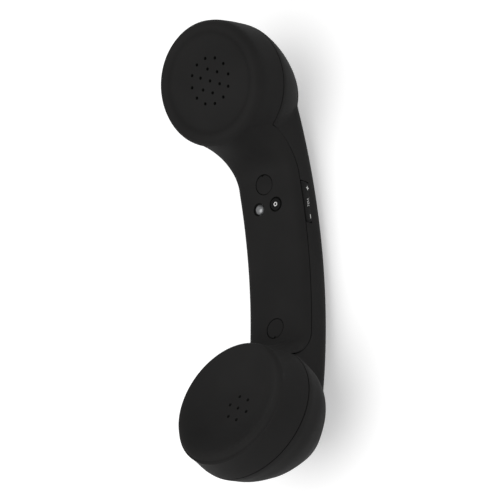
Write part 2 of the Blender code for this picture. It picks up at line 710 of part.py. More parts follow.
def build_front(mat):
    """Front shell: caps and face in one moulding, with its collars, posts and screw seats."""
    ob = link("front_shell", thicken("front_shell", *front_skin()), mat)
    boolean(ob, slab("front_cut", seam_line(), -HANDLE_THICKNESS), "DIFFERENCE")
    inside = -WALL * 0.6
    for frame in plug_frames().values():
        wide = PLUG_RADIUS + FIT + BOSS_WALL
        narrow = HEAD_BORE + BOSS_WALL
        boolean(ob, turned("seat", frame, [(narrow, -SEAT_BACK), (narrow, -RECESS_DEPTH - 2 * BOSS_WALL),
                                           (wide, -RECESS_DEPTH - BOSS_WALL), (wide, inside)]), "UNION")
    ear = cap_frame(EAR)
    collar = RECEIVER_RADIUS + FIT
    boolean(ob, pipe("collar", ear, collar + COLLAR_WALL, collar, FRAME_BACK, inside), "UNION")
    for frame in clamp_frames():
        boolean(ob, rod("post", frame, CLAMP_POST_RADIUS, FRAME_BACK, inside), "UNION")
    mouth = cap_frame(MOUTH)
    collar = BOOT_RADIUS + FIT
    boolean(ob, pipe("collar", mouth, collar + COLLAR_WALL, collar, BOOT_BACK + BOOT_FLOOR, inside), "UNION")
    for frame in plug_frames().values():
        bore = [(SCREW_RADIUS + 2 * FIT, -SEAT_BACK - FIT), (SCREW_RADIUS + 2 * FIT, -SCREW_SEAT),
                (HEAD_BORE, -SCREW_SEAT), (HEAD_BORE, -RECESS_DEPTH),
                (PLUG_RADIUS + FIT, -RECESS_DEPTH), (PLUG_RADIUS + FIT, 2 * WALL)]
        boolean(ob, turned("bore", frame, bore), "DIFFERENCE")
    for frame in clamp_frames():
        pilot = SMALL_SCREW_RADIUS + FIT
        boolean(ob, rod("pilot", frame, pilot, FRAME_BACK - FIT, -WALL - FIT), "DIFFERENCE")
    boolean(ob, rod("button_hole", face_frame(CONTROL_X, CONTROL_Y), BUTTON_RADIUS + FIT, -2 * WALL, WALL),
            "DIFFERENCE")
    chamfer = LENS_RADIUS + FIT + LENS_CHAMFER
    boolean(ob, turned("lens_hole", face_frame(-CONTROL_X, CONTROL_Y),
                       [(LENS_RADIUS + FIT, -2 * WALL), (LENS_RADIUS + FIT, -LENS_CHAMFER), (chamfer, 0.0),
                        (chamfer, WALL)]), "DIFFERENCE")
    cut_sound_holes(ob, EAR, EAR_RINGS)
    cut_sound_holes(ob, MOUTH, MOUTH_RINGS)
    return ob


def build_back(mat):
    """Back shell: handle and both cups, hollowed, with its bosses, posts and openings."""
    ob = cup_solid("back_shell", EAR, 0.0)
    ob.data.materials.append(mat)
    boolean(ob, handle_solid("handle", 0.0), "UNION")
    boolean(ob, cup_solid("mouth", MOUTH, 0.0), "UNION")
    room = cup_solid("room", EAR, WALL)
    boolean(room, handle_solid("handle_room", WALL), "UNION")
    boolean(room, cup_solid("mouth_room", MOUTH, WALL), "UNION")
    boolean(ob, room, "DIFFERENCE")
    boolean(ob, slab("back_cut", seam_line(SEAM_GAP), 2 * CAP_HEIGHT), "DIFFERENCE")
    floor = -HANDLE_THICKNESS + WALL * 0.5
    for frame in plug_frames().values():
        boolean(ob, rod("boss", frame, SCREW_BOSS_RADIUS, floor, -SEAT_BACK - FIT), "UNION")
        boolean(ob, rod("pilot", frame, PILOT_RADIUS, -SCREW_SEAT - SCREW_LENGTH - FIT, 0.0), "DIFFERENCE")
    post_top = BOARD_TOP - BOARD_THICKNESS - FIT
    for x in (-POST_X, POST_X):
        for y in (POST_EAR, POST_MOUTH):
            frame = place(x, y)
            boolean(ob, rod("post", frame, POST_RADIUS, floor_height(y) - WALL / 4, post_top), "UNION")
            if y == POST_MOUTH:
                boolean(ob, rod("pilot", frame, SMALL_SCREW_RADIUS + FIT,
                                BOARD_TOP - SMALL_SCREW_LENGTH - FIT, BOARD_TOP), "DIFFERENCE")
    rocker_room = (2 * ROCKER_THICKNESS + 2 * WALL, ROCKER_LENGTH + 2 * FIT, 2 * ROCKER_HEIGHT)
    wall = HANDLE_WIDTH / 2
    boolean(ob, block("slot", place(wall, ROCKER_Y), rocker_room, ROCKER_BOTTOM - FIT), "DIFFERENCE")
    pivot = place(wall - PIVOT_INSET, ROCKER_Y)
    lug = (PIVOT_INSET, 6 * PIVOT_RADIUS, 3 * PIVOT_RADIUS)
    lug_top = ROCKER_BOTTOM - 2 * FIT
    boolean(ob, block("lug", pivot, lug, lug_top - lug[2]), "UNION")
    hole = rod("pivot_hole", pivot, PIVOT_RADIUS + FIT, lug_top - 2 * PIVOT_RADIUS, BOARD_TOP)
    boolean(ob, hole, "DIFFERENCE")
    socket = (4 * WALL, SOCKET_SIZE[1] + 2 * FIT, SOCKET_SIZE[2] + 2 * FIT)
    boolean(ob, block("socket_slot", place(-wall, SOCKET_Y), socket, BOARD_TOP), "DIFFERENCE")
    return ob


def build_plugs(plastic, steel):
    for end, frame in plug_frames().items():
        plug = turned(f"screw_plug_{end}", frame,
                      [(PLUG_SPIGOT, -RECESS_DEPTH - PLUG_THICKNESS), (PLUG_SPIGOT, -PLUG_THICKNESS),
                       (PLUG_RADIUS, -PLUG_THICKNESS), (PLUG_RADIUS, 0.0)], ROUND_SIDES, plastic)
        side = 1 if end == "ear" else -1
        boolean(plug, rod("notch", frame @ place(0.0, side * PLUG_RADIUS), NOTCH_RADIUS, -PLUG_THICKNESS / 2,
                          WALL, SMALL_SIDES), "DIFFERENCE")
        turned(f"shell_screw_{end}", frame,
               [(SCREW_RADIUS, -SCREW_SEAT - SCREW_LENGTH), (SCREW_RADIUS, -SCREW_SEAT + FIT),
                (SCREW_HEAD_RADIUS, -SCREW_SEAT + FIT), (SCREW_HEAD_RADIUS, -SCREW_SEAT + FIT
                + SCREW_HEAD_HEIGHT * 0.6), (SCREW_HEAD_RADIUS * 0.7, -SCREW_SEAT + FIT + SCREW_HEAD_HEIGHT)],
               16, steel)


def build_button(plastic):
    """Answer button: cap, flange under the face and stem over its switch."""
    frame = face_frame(CONTROL_X, CONTROL_Y)
    switch_top = BOARD_TOP + FIT + SWITCH_HEIGHT + SWITCH_PLUNGER
    stem = switch_top + PRESS_GAP - face_height(CONTROL_Y)
    crown = BUTTON_PROUD
    turned("answer_button", frame,
           [(STEM_RADIUS, stem), (STEM_RADIUS, FLANGE_TOP - FLANGE_THICKNESS),
            (BUTTON_FLANGE, FLANGE_TOP - FLANGE_THICKNESS), (BUTTON_FLANGE, FLANGE_TOP),
            (BUTTON_RADIUS, FLANGE_TOP), (BUTTON_RADIUS, crown - BUTTON_PROUD),
            (BUTTON_RADIUS - BUTTON_PROUD, crown)], ROUND_SIDES, plastic)


def build_lens(clear):
    """Indicator lens: dome, flange under the face and light pipe over the lamp."""
    frame = face_frame(-CONTROL_X, CONTROL_Y)
    pipe_end = BOARD_TOP + FIT + LED_SIZE[2] + FIT - face_height(CONTROL_Y)
    dome = [(LENS_RADIUS * math.cos(a), LENS_DOME * math.sin(a) - LENS_CHAMFER)
            for a in (i * math.pi / 8 for i in range(4))]
    turned("indicator_lens", frame,
           [(LIGHT_PIPE_RADIUS, pipe_end), (LIGHT_PIPE_RADIUS, FLANGE_TOP - FLANGE_THICKNESS),
            (LENS_FLANGE, FLANGE_TOP - FLANGE_THICKNESS), (LENS_FLANGE, FLANGE_TOP),
            (LENS_RADIUS, FLANGE_TOP)]
           + dome, ROUND_SIDES, clear)


def build_rocker(plastic):
    """Volume rocker: a bar in the slot of the side wall, its pivot pin and two pushers."""
    wall = HANDLE_WIDTH / 2
    pivot = place(wall - PIVOT_INSET, ROCKER_Y)
    outside = PIVOT_INSET + ROCKER_PROUD
    bar = block("volume_rocker", pivot @ place(outside - ROCKER_THICKNESS / 2, 0.0),
                (ROCKER_THICKNESS, ROCKER_LENGTH, ROCKER_HEIGHT), ROCKER_BOTTOM, plastic)
    bevel = bar.modifiers.new("edges", "BEVEL")
    bevel.width = ROCKER_PROUD
    bevel.segments = 2
    bevel.limit_method = "ANGLE"
    low = ROCKER_BOTTOM - FIT - 1.5 * PIVOT_RADIUS
    reach = outside - ROCKER_THICKNESS / 2
    boolean(bar, rod("pin", pivot, PIVOT_RADIUS, low, ROCKER_TOP - FIT), "UNION")
    web = (reach, WEB_THICKNESS, ROCKER_HEIGHT - 2 * WEB_INSET)
    boolean(bar, block("web", pivot @ place(reach / 2, 0.0), web, ROCKER_BOTTOM + WEB_INSET), "UNION")
    tip_x = side_switch_face() + PRESS_GAP - (wall - PIVOT_INSET)
    pusher = (reach - tip_x, PUSHER_SIZE, PUSHER_SIZE)
    pusher_low = BOARD_TOP + FIT + (SIDE_SWITCH_HEIGHT - PUSHER_SIZE) / 2
    for sign in (-1, 1):
        boolean(bar, block("pusher", pivot @ place((tip_x + reach) / 2, sign * PUSHER_OFFSET), pusher,
                           pusher_low), "UNION")
    move_origin(bar, pivot)
    return bar


def move_origin(ob, frame):
    """Give an object the frame as its own axes without moving its mesh."""
    ob.data.transform(frame.inverted() @ ob.matrix_world)
    ob.matrix_world = frame


def side_switch_face():
    """Lateral place of the plungers of the two volume switches."""
    return BOARD_HALF_WIDTH - FIT + SWITCH_PLUNGER


def build_board(board, black, metal, copper):
    """Circuit board with its switches, lamp, modules, socket and screws."""
    length = BOARD_EAR - BOARD_MOUTH
    middle = place(0.0, (BOARD_EAR + BOARD_MOUTH) / 2)
    plate = block("main_board", middle, (2 * BOARD_HALF_WIDTH, length, BOARD_THICKNESS),
                  BOARD_TOP - BOARD_THICKNESS, board)
    for frame in plug_frames().values():
        notch = rod("boss_notch", frame, SCREW_BOSS_RADIUS + 2 * FIT, -HANDLE_THICKNESS, 0.0)
        boolean(plate, notch, "DIFFERENCE")
    for x in (-POST_X, POST_X):
        boolean(plate, rod("screw_hole", place(x, POST_MOUTH), SMALL_SCREW_RADIUS + FIT, 0.0, 2 * BOARD_TOP,
                           SMALL_SIDES),
                "DIFFERENCE")
    seat = BOARD_TOP + FIT
    for end, y in (("up", ROCKER_Y + PUSHER_OFFSET), ("down", ROCKER_Y - PUSHER_OFFSET)):
        centre = BOARD_HALF_WIDTH - FIT - SIDE_SWITCH_DEPTH / 2
        switch = block(f"volume_{end}_switch", place(centre, y),
                       (SIDE_SWITCH_DEPTH, SIDE_SWITCH_LENGTH, SIDE_SWITCH_HEIGHT), seat, metal)
        plunger = (2 * SWITCH_PLUNGER, *SIDE_PLUNGER)
        boolean(switch, block("plunger", place(BOARD_HALF_WIDTH - FIT, y), plunger,
                              seat + (SIDE_SWITCH_HEIGHT - plunger[2]) / 2), "UNION")
    switch = block("answer_switch", place(CONTROL_X, CONTROL_Y), (SWITCH_BODY, SWITCH_BODY, SWITCH_HEIGHT),
                   seat, metal)
    boolean(switch, rod("plunger", place(CONTROL_X, CONTROL_Y), STEM_RADIUS, seat + SWITCH_HEIGHT / 2,
                        seat + SWITCH_HEIGHT + SWITCH_PLUNGER), "UNION")
    block("indicator_lamp", place(-CONTROL_X, CONTROL_Y), LED_SIZE, seat, copper)
    block("wireless_module", place((MODULE_LEFT + MODULE_RIGHT) / 2, MODULE_Y),
          (MODULE_RIGHT - MODULE_LEFT, MODULE_LENGTH, MODULE_HEIGHT), seat, metal)
    chip_x = BOARD_HALF_WIDTH - CHIP_INSET - CHIP_SIZE[0] / 2
    block("audio_chip", place(chip_x, CHIP_Y), CHIP_SIZE, seat, black)
    depth, width, height = SOCKET_SIZE
    socket = block("charging_socket", place(SOCKET_MOUTH + depth / 2, SOCKET_Y), SOCKET_SIZE, seat, metal)
    room = (depth * 1.6, width - 2 * SOCKET_SKIN, height - 2 * SOCKET_SKIN)
    boolean(socket, block("room", place(SOCKET_MOUTH, SOCKET_Y), room, seat + SOCKET_SKIN), "DIFFERENCE")
    tongue = (depth * 0.8, width * 0.6, TONGUE_THICKNESS)
    boolean(socket, block("tongue", place(SOCKET_MOUTH + depth * 0.55, SOCKET_Y), tongue, seat + height / 2),
            "UNION")
    for number, x in enumerate((POST_X, -POST_X), 1):
        small_screw(f"board_screw_{number}", place(x, POST_MOUTH, BOARD_TOP + FIT), metal)


def small_screw(name, frame, mat):
    """Pan-head screw with the underside of its head on the frame's origin."""
    turned(name, frame, [(SMALL_SCREW_RADIUS, -SMALL_SCREW_LENGTH), (SMALL_SCREW_RADIUS, 0.0),
                         (SMALL_HEAD_RADIUS, 0.0), (SMALL_HEAD_RADIUS, SMALL_HEAD_HEIGHT * 0.6),
                         (SMALL_HEAD_RADIUS * 0.6, SMALL_HEAD_HEIGHT)], SMALL_SIDES, mat)


def build_battery(foil, foam):
    """Flat cell over the handle's floor, on a foam pad."""
    ends = (BATTERY_Y - BATTERY_SIZE[1] / 2, BATTERY_Y + BATTERY_SIZE[1] / 2)
    pad_ends = (BATTERY_Y - PAD_SIZE[1] / 2, BATTERY_Y + PAD_SIZE[1] / 2)
    pad_low = max(floor_height(y) for y in pad_ends) + FIT
    cell_low = max(max(floor_height(y) for y in ends) + 2 * FIT, pad_low + PAD_THICKNESS + FIT)
    block("battery_pad", place(0.0, BATTERY_Y), (*PAD_SIZE, cell_low - FIT - pad_low), pad_low, foam)
    cell = block("battery", place(0.0, BATTERY_Y), BATTERY_SIZE, cell_low, foil)
    bevel = cell.modifiers.new("edges", "BEVEL")
    bevel.width = BATTERY_EDGE
    bevel.segments = 2


def build_receiver(black, metal, paper, foam):
    """Gasket, basket, diaphragm, magnet, clamp and screws behind the ear cap."""
    frame = cap_frame(EAR)
    pipe("receiver_gasket", frame, RECEIVER_RADIUS, RECEIVER_RADIUS - GASKET_WIDTH,
         GASKET_TOP - GASKET_THICKNESS, GASKET_TOP, ROUND_SIDES, foam)
    step = RECEIVER_RADIUS - BASKET_WALL
    seat = FRAME_TOP - 3 * DIAPHRAGM_THICKNESS
    floor = FRAME_BACK + BASKET_WALL
    turned("receiver_basket", frame,
           [(RECEIVER_RADIUS, FRAME_BACK), (RECEIVER_RADIUS, FRAME_TOP), (step, FRAME_TOP), (step, seat),
            (step - BASKET_LEDGE, seat), (step - 2 * BASKET_LEDGE, floor)], ROUND_SIDES, black)
    edge = step - FIT
    low = seat + FIT
    surface = [(0.12, 1.8 * DIAPHRAGM_THICKNESS), (0.35, DIAPHRAGM_THICKNESS), (0.60, -DIAPHRAGM_DROP),
               (0.85, 0.0), (1.0, 0.0)]
    under = [(edge * share, low + height) for share, height in surface]
    over = [(radius, height + DIAPHRAGM_THICKNESS) for radius, height in reversed(under)]
    turned("receiver_diaphragm", frame, under + over, ROUND_SIDES, paper)
    turned("receiver_magnet", frame, [(MAGNET_RADIUS * 0.9, FRAME_BACK - FIT - MAGNET_DEPTH),
                                      (MAGNET_RADIUS, FRAME_BACK - FIT - MAGNET_DEPTH * 0.85),
                                      (MAGNET_RADIUS, FRAME_BACK - FIT)], ROUND_SIDES, metal)
    clamp = pipe("receiver_clamp", frame, CLAMP_RADIUS, CLAMP_OPENING, CLAMP_BACK, CLAMP_TOP,
                 ROUND_SIDES, metal)
    for number, spot in enumerate(clamp_frames(), 1):
        boolean(clamp, rod("hole", spot, SMALL_SCREW_RADIUS + FIT, 2 * CLAMP_BACK, 0.0, SMALL_SIDES),
                "DIFFERENCE")
        small_screw(f"clamp_screw_{number}", spot @ place(0.0, 0.0, CLAMP_BACK - FIT)
                    @ Matrix.Rotation(math.pi, 4, "X"), metal)


def build_microphone(rubber, metal, foam):
    """Foam disc, rubber boot and capsule behind the mouth cap."""
    frame = cap_frame(MOUTH)
    rod("microphone_foam", frame, BOOT_RADIUS, FOAM_TOP - FOAM_THICKNESS, FOAM_TOP, ROUND_SIDES, foam)
    room = CAPSULE_RADIUS + FIT
    turned("microphone_boot", frame, [(BOOT_RADIUS, BOOT_BACK), (BOOT_RADIUS, BOOT_TOP), (room, BOOT_TOP),
                                      (room, BOOT_BACK + BOOT_FLOOR)], ROUND_SIDES, rubber)
    rod("microphone_capsule", frame, CAPSULE_RADIUS, BOOT_BACK + BOOT_FLOOR + FIT, BOOT_TOP,
        ROUND_SIDES, metal)


def lead(name, points, mat):
    """Insulated pair of wires along a smooth curve through the points."""
    path = []
    ends = [points[0] * 2 - points[1]] + points + [points[-1] * 2 - points[-2]]
    for a, b, c, d in zip(ends, ends[1:], ends[2:], ends[3:]):
        for i in range(LEAD_STEPS):
            t = i / LEAD_STEPS
            path.append(0.5 * (2 * b + (c - a) * t + (2 * a - 5 * b + 4 * c - d) * t * t
                               + (3 * b - a - 3 * c + d) * t ** 3))
    path.append(points[-1])
    rings = []
    across = Vector((1.0, 0.0, 0.0))
    for i, point in enumerate(path):
        along = (path[min(i + 1, len(path) - 1)] - path[max(i - 1, 0)]).normalized()
        across = (across - along * across.dot(along)).normalized()
        other = along.cross(across)
        rings.append([point + (across * math.cos(2 * math.pi * k / LEAD_SIDES)
                               + other * math.sin(2 * math.pi * k / LEAD_SIDES)) * LEAD_RADIUS
                      for k in range(LEAD_SIDES)])
    ob = loft(name, rings)
    ob.data.materials.append(mat)
    return ob


def build_leads(mat):
    """Leads from the board to the receiver, the microphone and the battery."""
    over = BOARD_TOP + FIT + LEAD_RADIUS
    beside = SCREW_HEAD_RADIUS + 2 * BOSS_WALL + 2 * LEAD_RADIUS
    for name, cup, x, start, plug, depth in (
            ("receiver_leads", EAR, -beside, BOARD_EAR, PLUG_EAR, FRAME_BACK - FIT - MAGNET_DEPTH),
            ("microphone_leads", MOUTH, beside, BOARD_MOUTH, PLUG_MOUTH, BOOT_BACK)):
        end = cap_frame(cup) @ Vector((0.0, 0.0, depth - FIT))
        lead(name, [Vector((x, start - cup.sign * LEAD_INSET, over)),
                    Vector((x, plug, over)),
                    Vector((x, plug + cup.sign * LEAD_RUN, over + LEAD_RISE)),
                    Vector((x / 2, lerp(plug, end.y, 0.7), lerp(over, end.z, 0.4))),
                    end - cup.axis * LEAD_DROP, end - cup.axis * LEAD_DROP / 2, end], mat)
    x = -BATTERY_SIZE[0] / 4
    end = BATTERY_Y - BATTERY_SIZE[1] / 2 - FIT
    low = BOARD_TOP - BOARD_THICKNESS - BATTERY_SIZE[2] / 2
    past = BOARD_MOUTH - FIT - 2 * LEAD_RADIUS
    lead("battery_leads", [Vector((x, end, low)), Vector((x, BOARD_MOUTH, low)),
                           Vector((x, past, lerp(low, over, 0.5))), Vector((x, BOARD_MOUTH, over + FIT)),
                           Vector((x, BOARD_MOUTH + LEAD_INSET, over))], mat)


def centre_on_ground():
    """Move everything so that the box of the handset stands centred on the origin."""
    bpy.context.view_layer.update()
    points = [ob.matrix_world @ vertex.co for ob in bpy.data.objects for vertex in ob.data.vertices]
    middle = (min(p.y for p in points) + max(p.y for p in points)) / 2
    shift = Vector((0.0, -middle, -min(p.z for p in points)))
    for ob in bpy.data.objects:
        ob.location += shift


def main():
    clear_scene()
    shell = material("soft_touch_black", (0.020, 0.019, 0.019), 0.55)
    key = material("key_black", (0.025, 0.025, 0.026), 0.45)
    steel = material("zinc_steel", (0.55, 0.55, 0.56), 0.35, 1.0)
    clear = material("frosted_lens", (0.80, 0.82, 0.84), 0.25)
    board = material("board_green", (0.02, 0.12, 0.05), 0.45)
    chip = material("chip_black", (0.02, 0.02, 0.02), 0.40)
    lamp = material("lamp_white", (0.85, 0.85, 0.80), 0.40)
    foil = material("cell_foil", (0.60, 0.61, 0.62), 0.30, 0.6)
    foam = material("grey_foam", (0.12, 0.12, 0.13), 0.95)
    rubber = material("black_rubber", (0.03, 0.03, 0.03), 0.80)
    paper = material("diaphragm_film", (0.70, 0.65, 0.50), 0.35)
    wire = material("wire_red", (0.45, 0.04, 0.03), 0.50)
    build_front(shell)
    build_back(shell)
    build_plugs(shell, steel)
    build_button(key)
    build_lens(clear)
    build_rocker(key)
    build_board(board, chip, steel, lamp)
    build_battery(foil, foam)
    build_receiver(chip, steel, paper, foam)
    build_microphone(rubber, steel, foam)
    build_leads(wire)
    centre_on_ground()
    for ob in bpy.data.objects:
        ob.data.shade_smooth()
        ob.data.set_sharp_from_angle(angle=math.radians(40))


main()
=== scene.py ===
"""Looks of a cordless telephone handset: shells, plugs, keys, lens, legends and the table it lies on.

Sizes are in metres. X runs across the handset to the rocker's side, Y from the mouth to the ear,
and Z up from the lowest line of the back.
"""
import json
import math

import bmesh
import bpy
from mathutils import Matrix, Vector

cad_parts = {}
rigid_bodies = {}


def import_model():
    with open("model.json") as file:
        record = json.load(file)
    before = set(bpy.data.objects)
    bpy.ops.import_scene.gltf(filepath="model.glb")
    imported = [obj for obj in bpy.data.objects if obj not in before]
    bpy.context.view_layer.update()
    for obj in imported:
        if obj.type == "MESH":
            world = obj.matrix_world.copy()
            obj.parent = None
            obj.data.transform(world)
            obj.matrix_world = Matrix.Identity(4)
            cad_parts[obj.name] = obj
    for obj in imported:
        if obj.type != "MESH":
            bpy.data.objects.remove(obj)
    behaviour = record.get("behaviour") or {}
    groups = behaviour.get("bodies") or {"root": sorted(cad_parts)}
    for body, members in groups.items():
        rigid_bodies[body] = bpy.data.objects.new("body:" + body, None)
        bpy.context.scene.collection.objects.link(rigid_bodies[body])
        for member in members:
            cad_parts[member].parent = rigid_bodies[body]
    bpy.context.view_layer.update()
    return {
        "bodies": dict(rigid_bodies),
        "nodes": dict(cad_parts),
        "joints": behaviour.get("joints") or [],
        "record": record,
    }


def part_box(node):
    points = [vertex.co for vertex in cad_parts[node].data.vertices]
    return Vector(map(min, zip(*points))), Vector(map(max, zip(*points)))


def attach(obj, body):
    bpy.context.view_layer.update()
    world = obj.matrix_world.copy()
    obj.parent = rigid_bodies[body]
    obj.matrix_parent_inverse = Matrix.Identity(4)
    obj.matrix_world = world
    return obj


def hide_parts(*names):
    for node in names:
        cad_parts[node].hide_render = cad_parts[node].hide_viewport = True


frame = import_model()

# Driving dimensions of the two shells
CAP_SPACING = 0.1433          # between the middles of the two hole patterns
CAP_HEIGHT = 0.0539           # hole patterns above the lowest line of the back
WALL = 0.0020
SEAM_GAP = 0.0003
FIT = 0.0003                  # clearance between pieces that touch

# Handle
HANDLE_WIDTH = 0.0316
HANDLE_THICKNESS = 0.0211
HANDLE_ARCH = 0.245           # radius of the back and of the face, seen from the side
FACE_EDGE = 0.0045            # rounding along the face
BACK_EDGE = 0.0095            # rounding along the back
SEAM_DEPTH = 0.0046           # seam below the face
ARCH_OFFSET = 0.0047          # lowest line of the arch, from the middle towards the ear

# Ear cup. Heights are above the hole plane, along the cap's axis.
EAR_TILT = math.radians(11.6)
EAR_RADIUS = 0.0272
EAR_SEAM = -0.0153
EAR_DISH = 0.0191
EAR_CREST = 0.0241
EAR_CREST_RISE = 0.0023
EAR_MIDDLE = 0.55             # an inner ring of the dish, as a share of it
EAR_SWEEP = (0.65, 0.78)      # share of the way out from dish to crest, and of the rise there
EAR_SHOULDER = (0.50, 0.75)   # the same between crest and rim
EAR_LEAN = 0.0010             # the cup's middle lies this far towards the handle at the hole plane
EAR_LEAN_RADIUS = 0.195       # and follows an arc of this radius further down
EAR_RIM_TAPER = 0.0003        # the rim is narrower by this much
EAR_RIM_DEPTH = 0.0030        # down to this depth
EAR_BACK = [(-0.0180, 0.0003), (-0.0240, 0.0023), (-0.0300, 0.0050), (-0.0360, 0.0083),
            (-0.0415, 0.0120), (-0.0435, 0.0145)]   # height, and how far it has drawn in

# Mouth cup
MOUTH_TILT = math.radians(19.4)
MOUTH_RIM = 0.0271
MOUTH_RADIUS = 0.0298         # at the seam
MOUTH_SEAM = -0.0082
MOUTH_DISH = 0.0080
MOUTH_CREST = 0.0252
MOUTH_CREST_RISE = 0.0066
MOUTH_SWEEP = [(0.35, 0.20), (0.64, 0.545), (0.885, 0.91)]   # ways out from the dish to the crest
MOUTH_SHOULDER = (0.68, 0.91)
MOUTH_EDGE_HEIGHT = 0.0048    # of the edge between cap and wall
MOUTH_TAPER = 0.0006          # of the wall just below that edge
MOUTH_TAPER_HEIGHT = 0.0010
MOUTH_LEAN = 0.0002
MOUTH_LEAN_SLOPE = 0.180
MOUTH_LEAN_MAX = 0.0047
MOUTH_BACK = [(-0.0140, 0.0008), (-0.0200, 0.0023), (-0.0270, 0.0060), (-0.0340, 0.0124),
              (-0.0395, 0.0180)]

# Necks between the cups and the handle, measured from the middle of the handset
NECK_EAR = 0.0320             # where the face starts to rise towards the ear cup
NECK_MOUTH = -0.0362          # and towards the mouth cup
NECK_DRAFT = 0.10             # slope with which the neck leaves the cup's wall
NECK_SPREAD = 6               # the higher, the later the neck's columns drop to the seam
NECK_DROP = (0.62, 0.50)      # how far the sweep holds the wall, in the middle and at the side
NECK_RUN = (0.85, 0.42)       # and how far it holds the handle
HANDLE_END_EAR = 0.0792       # ends of the handle's back, inside the cups
HANDLE_END_MOUTH = -0.0906
END_WIDTH = 0.0006            # half width left at those ends inside the wall

# Sound holes
HOLE_RADIUS = 0.00072
EAR_RINGS = [(6, 0.0053), (12, 0.0100)]
MOUTH_RINGS = [(6, 0.0054)]

# Screw plugs on the face, and the screws under them
PLUG_EAR = 0.0316
PLUG_MOUTH = -0.0330
PLUG_RADIUS = 0.00425
PLUG_THICKNESS = 0.0015
PLUG_SPIGOT = 0.0026
PLUG_EDGE = 0.00025           # rounding of the plug's edge
NOTCH_RADIUS = 0.0007
SCREW_HEAD_RADIUS = 0.0027
SCREW_RADIUS = 0.0013
SCREW_LENGTH = 0.0085
SCREW_SEAT = 0.0060           # depth of the seat below the face
SEAT_THICKNESS = 0.0015
BOSS_WALL = 0.0014
SCREW_BOSS_RADIUS = 0.0033

# Answer button and indicator, side by side on the face
CONTROL_Y = PLUG_EAR - 0.0099
CONTROL_X = 0.0046            # each side of the middle
BUTTON_RADIUS = 0.0030
BUTTON_PROUD = 0.0003
KEY_EDGE = 0.00030            # rounding of the crown
KEY_DISH = 0.00012            # depth of the finger dish
DISH_REACH = 0.85             # share of the crown that it takes
KEY_STEP = 0.00035            # the crown is narrower than the key's skirt, which leaves a dark ring
KEY_MOAT = 0.00085            # depth of that ring
RING_OUTER = 0.00093          # of the printed ring
RING_INNER = 0.00054
INK = 0.00003                 # half the thickness of the printing
BUTTON_FLANGE = 0.0036
FLANGE_THICKNESS = 0.0008
STEM_RADIUS = 0.0012
LENS_RADIUS = 0.0022
LENS_DOME = 0.0008
LENS_FLANGE = 0.0034
LENS_CHAMFER = 0.0004
LENS_WELL_DEPTH = 0.0011      # dark ring round the lens
LENS_WELL_RADIUS = 0.0029
LENS_SINK = 0.0009            # where the dome starts, below the face
LIGHT_PIPE_RADIUS = 0.0015

# Volume rocker in the side wall, just below the seam
ROCKER_Y = CONTROL_Y - 0.0005
ROCKER_LENGTH = 0.0182
ROCKER_HEIGHT = 0.0039
ROCKER_PROUD = 0.0005
ROCKER_THICKNESS = 0.0026
ROCKER_EDGE = 0.00060         # rounding
ROCKER_HOLLOW = 0.00012       # depth of the two finger hollows
HOLLOW_RUN = 1.15             # the higher, the further from the rocker's end a hollow stops
ROCKER_ROUNDNESS = 0.35       # the lower, the fuller the outside
PUSHER_OFFSET = 0.0049        # of each pusher from the pivot
PUSHER_SIZE = 0.0016
WEB_THICKNESS = 0.0010        # of the web between bar and pivot
WEB_INSET = 0.0006            # of the web from the bar's top and bottom
PIVOT_RADIUS = 0.0008
PIVOT_INSET = 0.0030          # of the pivot from the outside of the wall
LUG_SIZE = (PIVOT_INSET, 6 * PIVOT_RADIUS, 3 * PIVOT_RADIUS)   # of the lug that carries it

# Printed on the rocker: name, words, size, added weight, letter spacing, place along it and height
LEGENDS = [("legend_plus", "+", 0.0038, 0.00001, 1.0, 0.02745, 0.0138),
           ("legend_vol", "VOL", 0.0018, 0.0, 1.25, 0.0208, 0.0142),
           ("legend_minus", "\u2212", 0.0038, 0.00001, 1.0, 0.01465, 0.0136)]

# Circuit board, its posts, and what stands on it
BOARD_TOP = 0.0125
BOARD_THICKNESS = 0.0012
BOARD_SIDE_ROOM = 0.0029      # between the board and each side wall
BOARD_HALF_WIDTH = HANDLE_WIDTH / 2 - WALL - BOARD_SIDE_ROOM
BOARD_EAR = PLUG_EAR - 0.0020
BOARD_MOUTH = PLUG_MOUTH + 0.0042
POST_RADIUS = 0.0019
POST_INSET = 0.0018           # from the board's edge
POST_X = BOARD_HALF_WIDTH - POST_INSET
POST_EAR = ROCKER_Y           # between the two volume switches
POST_MOUTH = BOARD_MOUTH + 0.0050
SWITCH_HEIGHT = 0.0032
SWITCH_PLUNGER = 0.0006
PRESS_GAP = 0.00045           # between a key and its switch at rest
SIDE_SWITCH_HEIGHT = 0.0030
LED_SIZE = (0.0035, 0.0028, 0.0019)
SOCKET_SIZE = (0.0056, 0.0075, 0.0028)
SOCKET_Y = -0.0160

# Receiver behind the ear cap. Depths are below the wall of the cap.
RECEIVER_RADIUS = EAR_DISH - 0.0013
RECEIVER_DEPTH = 0.0050
GASKET_THICKNESS = 0.0010
COLLAR_WALL = 0.0012
CLAMP_SCREWS = 3
CLAMP_CIRCLE = RECEIVER_RADIUS + 0.0029
CLAMP_POST_RADIUS = 0.0020
SMALL_SCREW_RADIUS = 0.0008
SMALL_SCREW_LENGTH = 0.0045

# Microphone behind the mouth cap
BOOT_RADIUS = 0.0080
BOOT_DEPTH = 0.0062
BOOT_FLOOR = 0.0010
FOAM_THICKNESS = 0.0010

# Dust cloth behind the ear's sound holes
CLOTH_RADIUS = 0.0125
CLOTH_THICKNESS = 0.00015
CLOTH_SAG = 0.00010
CLOTH_GLUE = 0.00003          # between the cloth and the wall

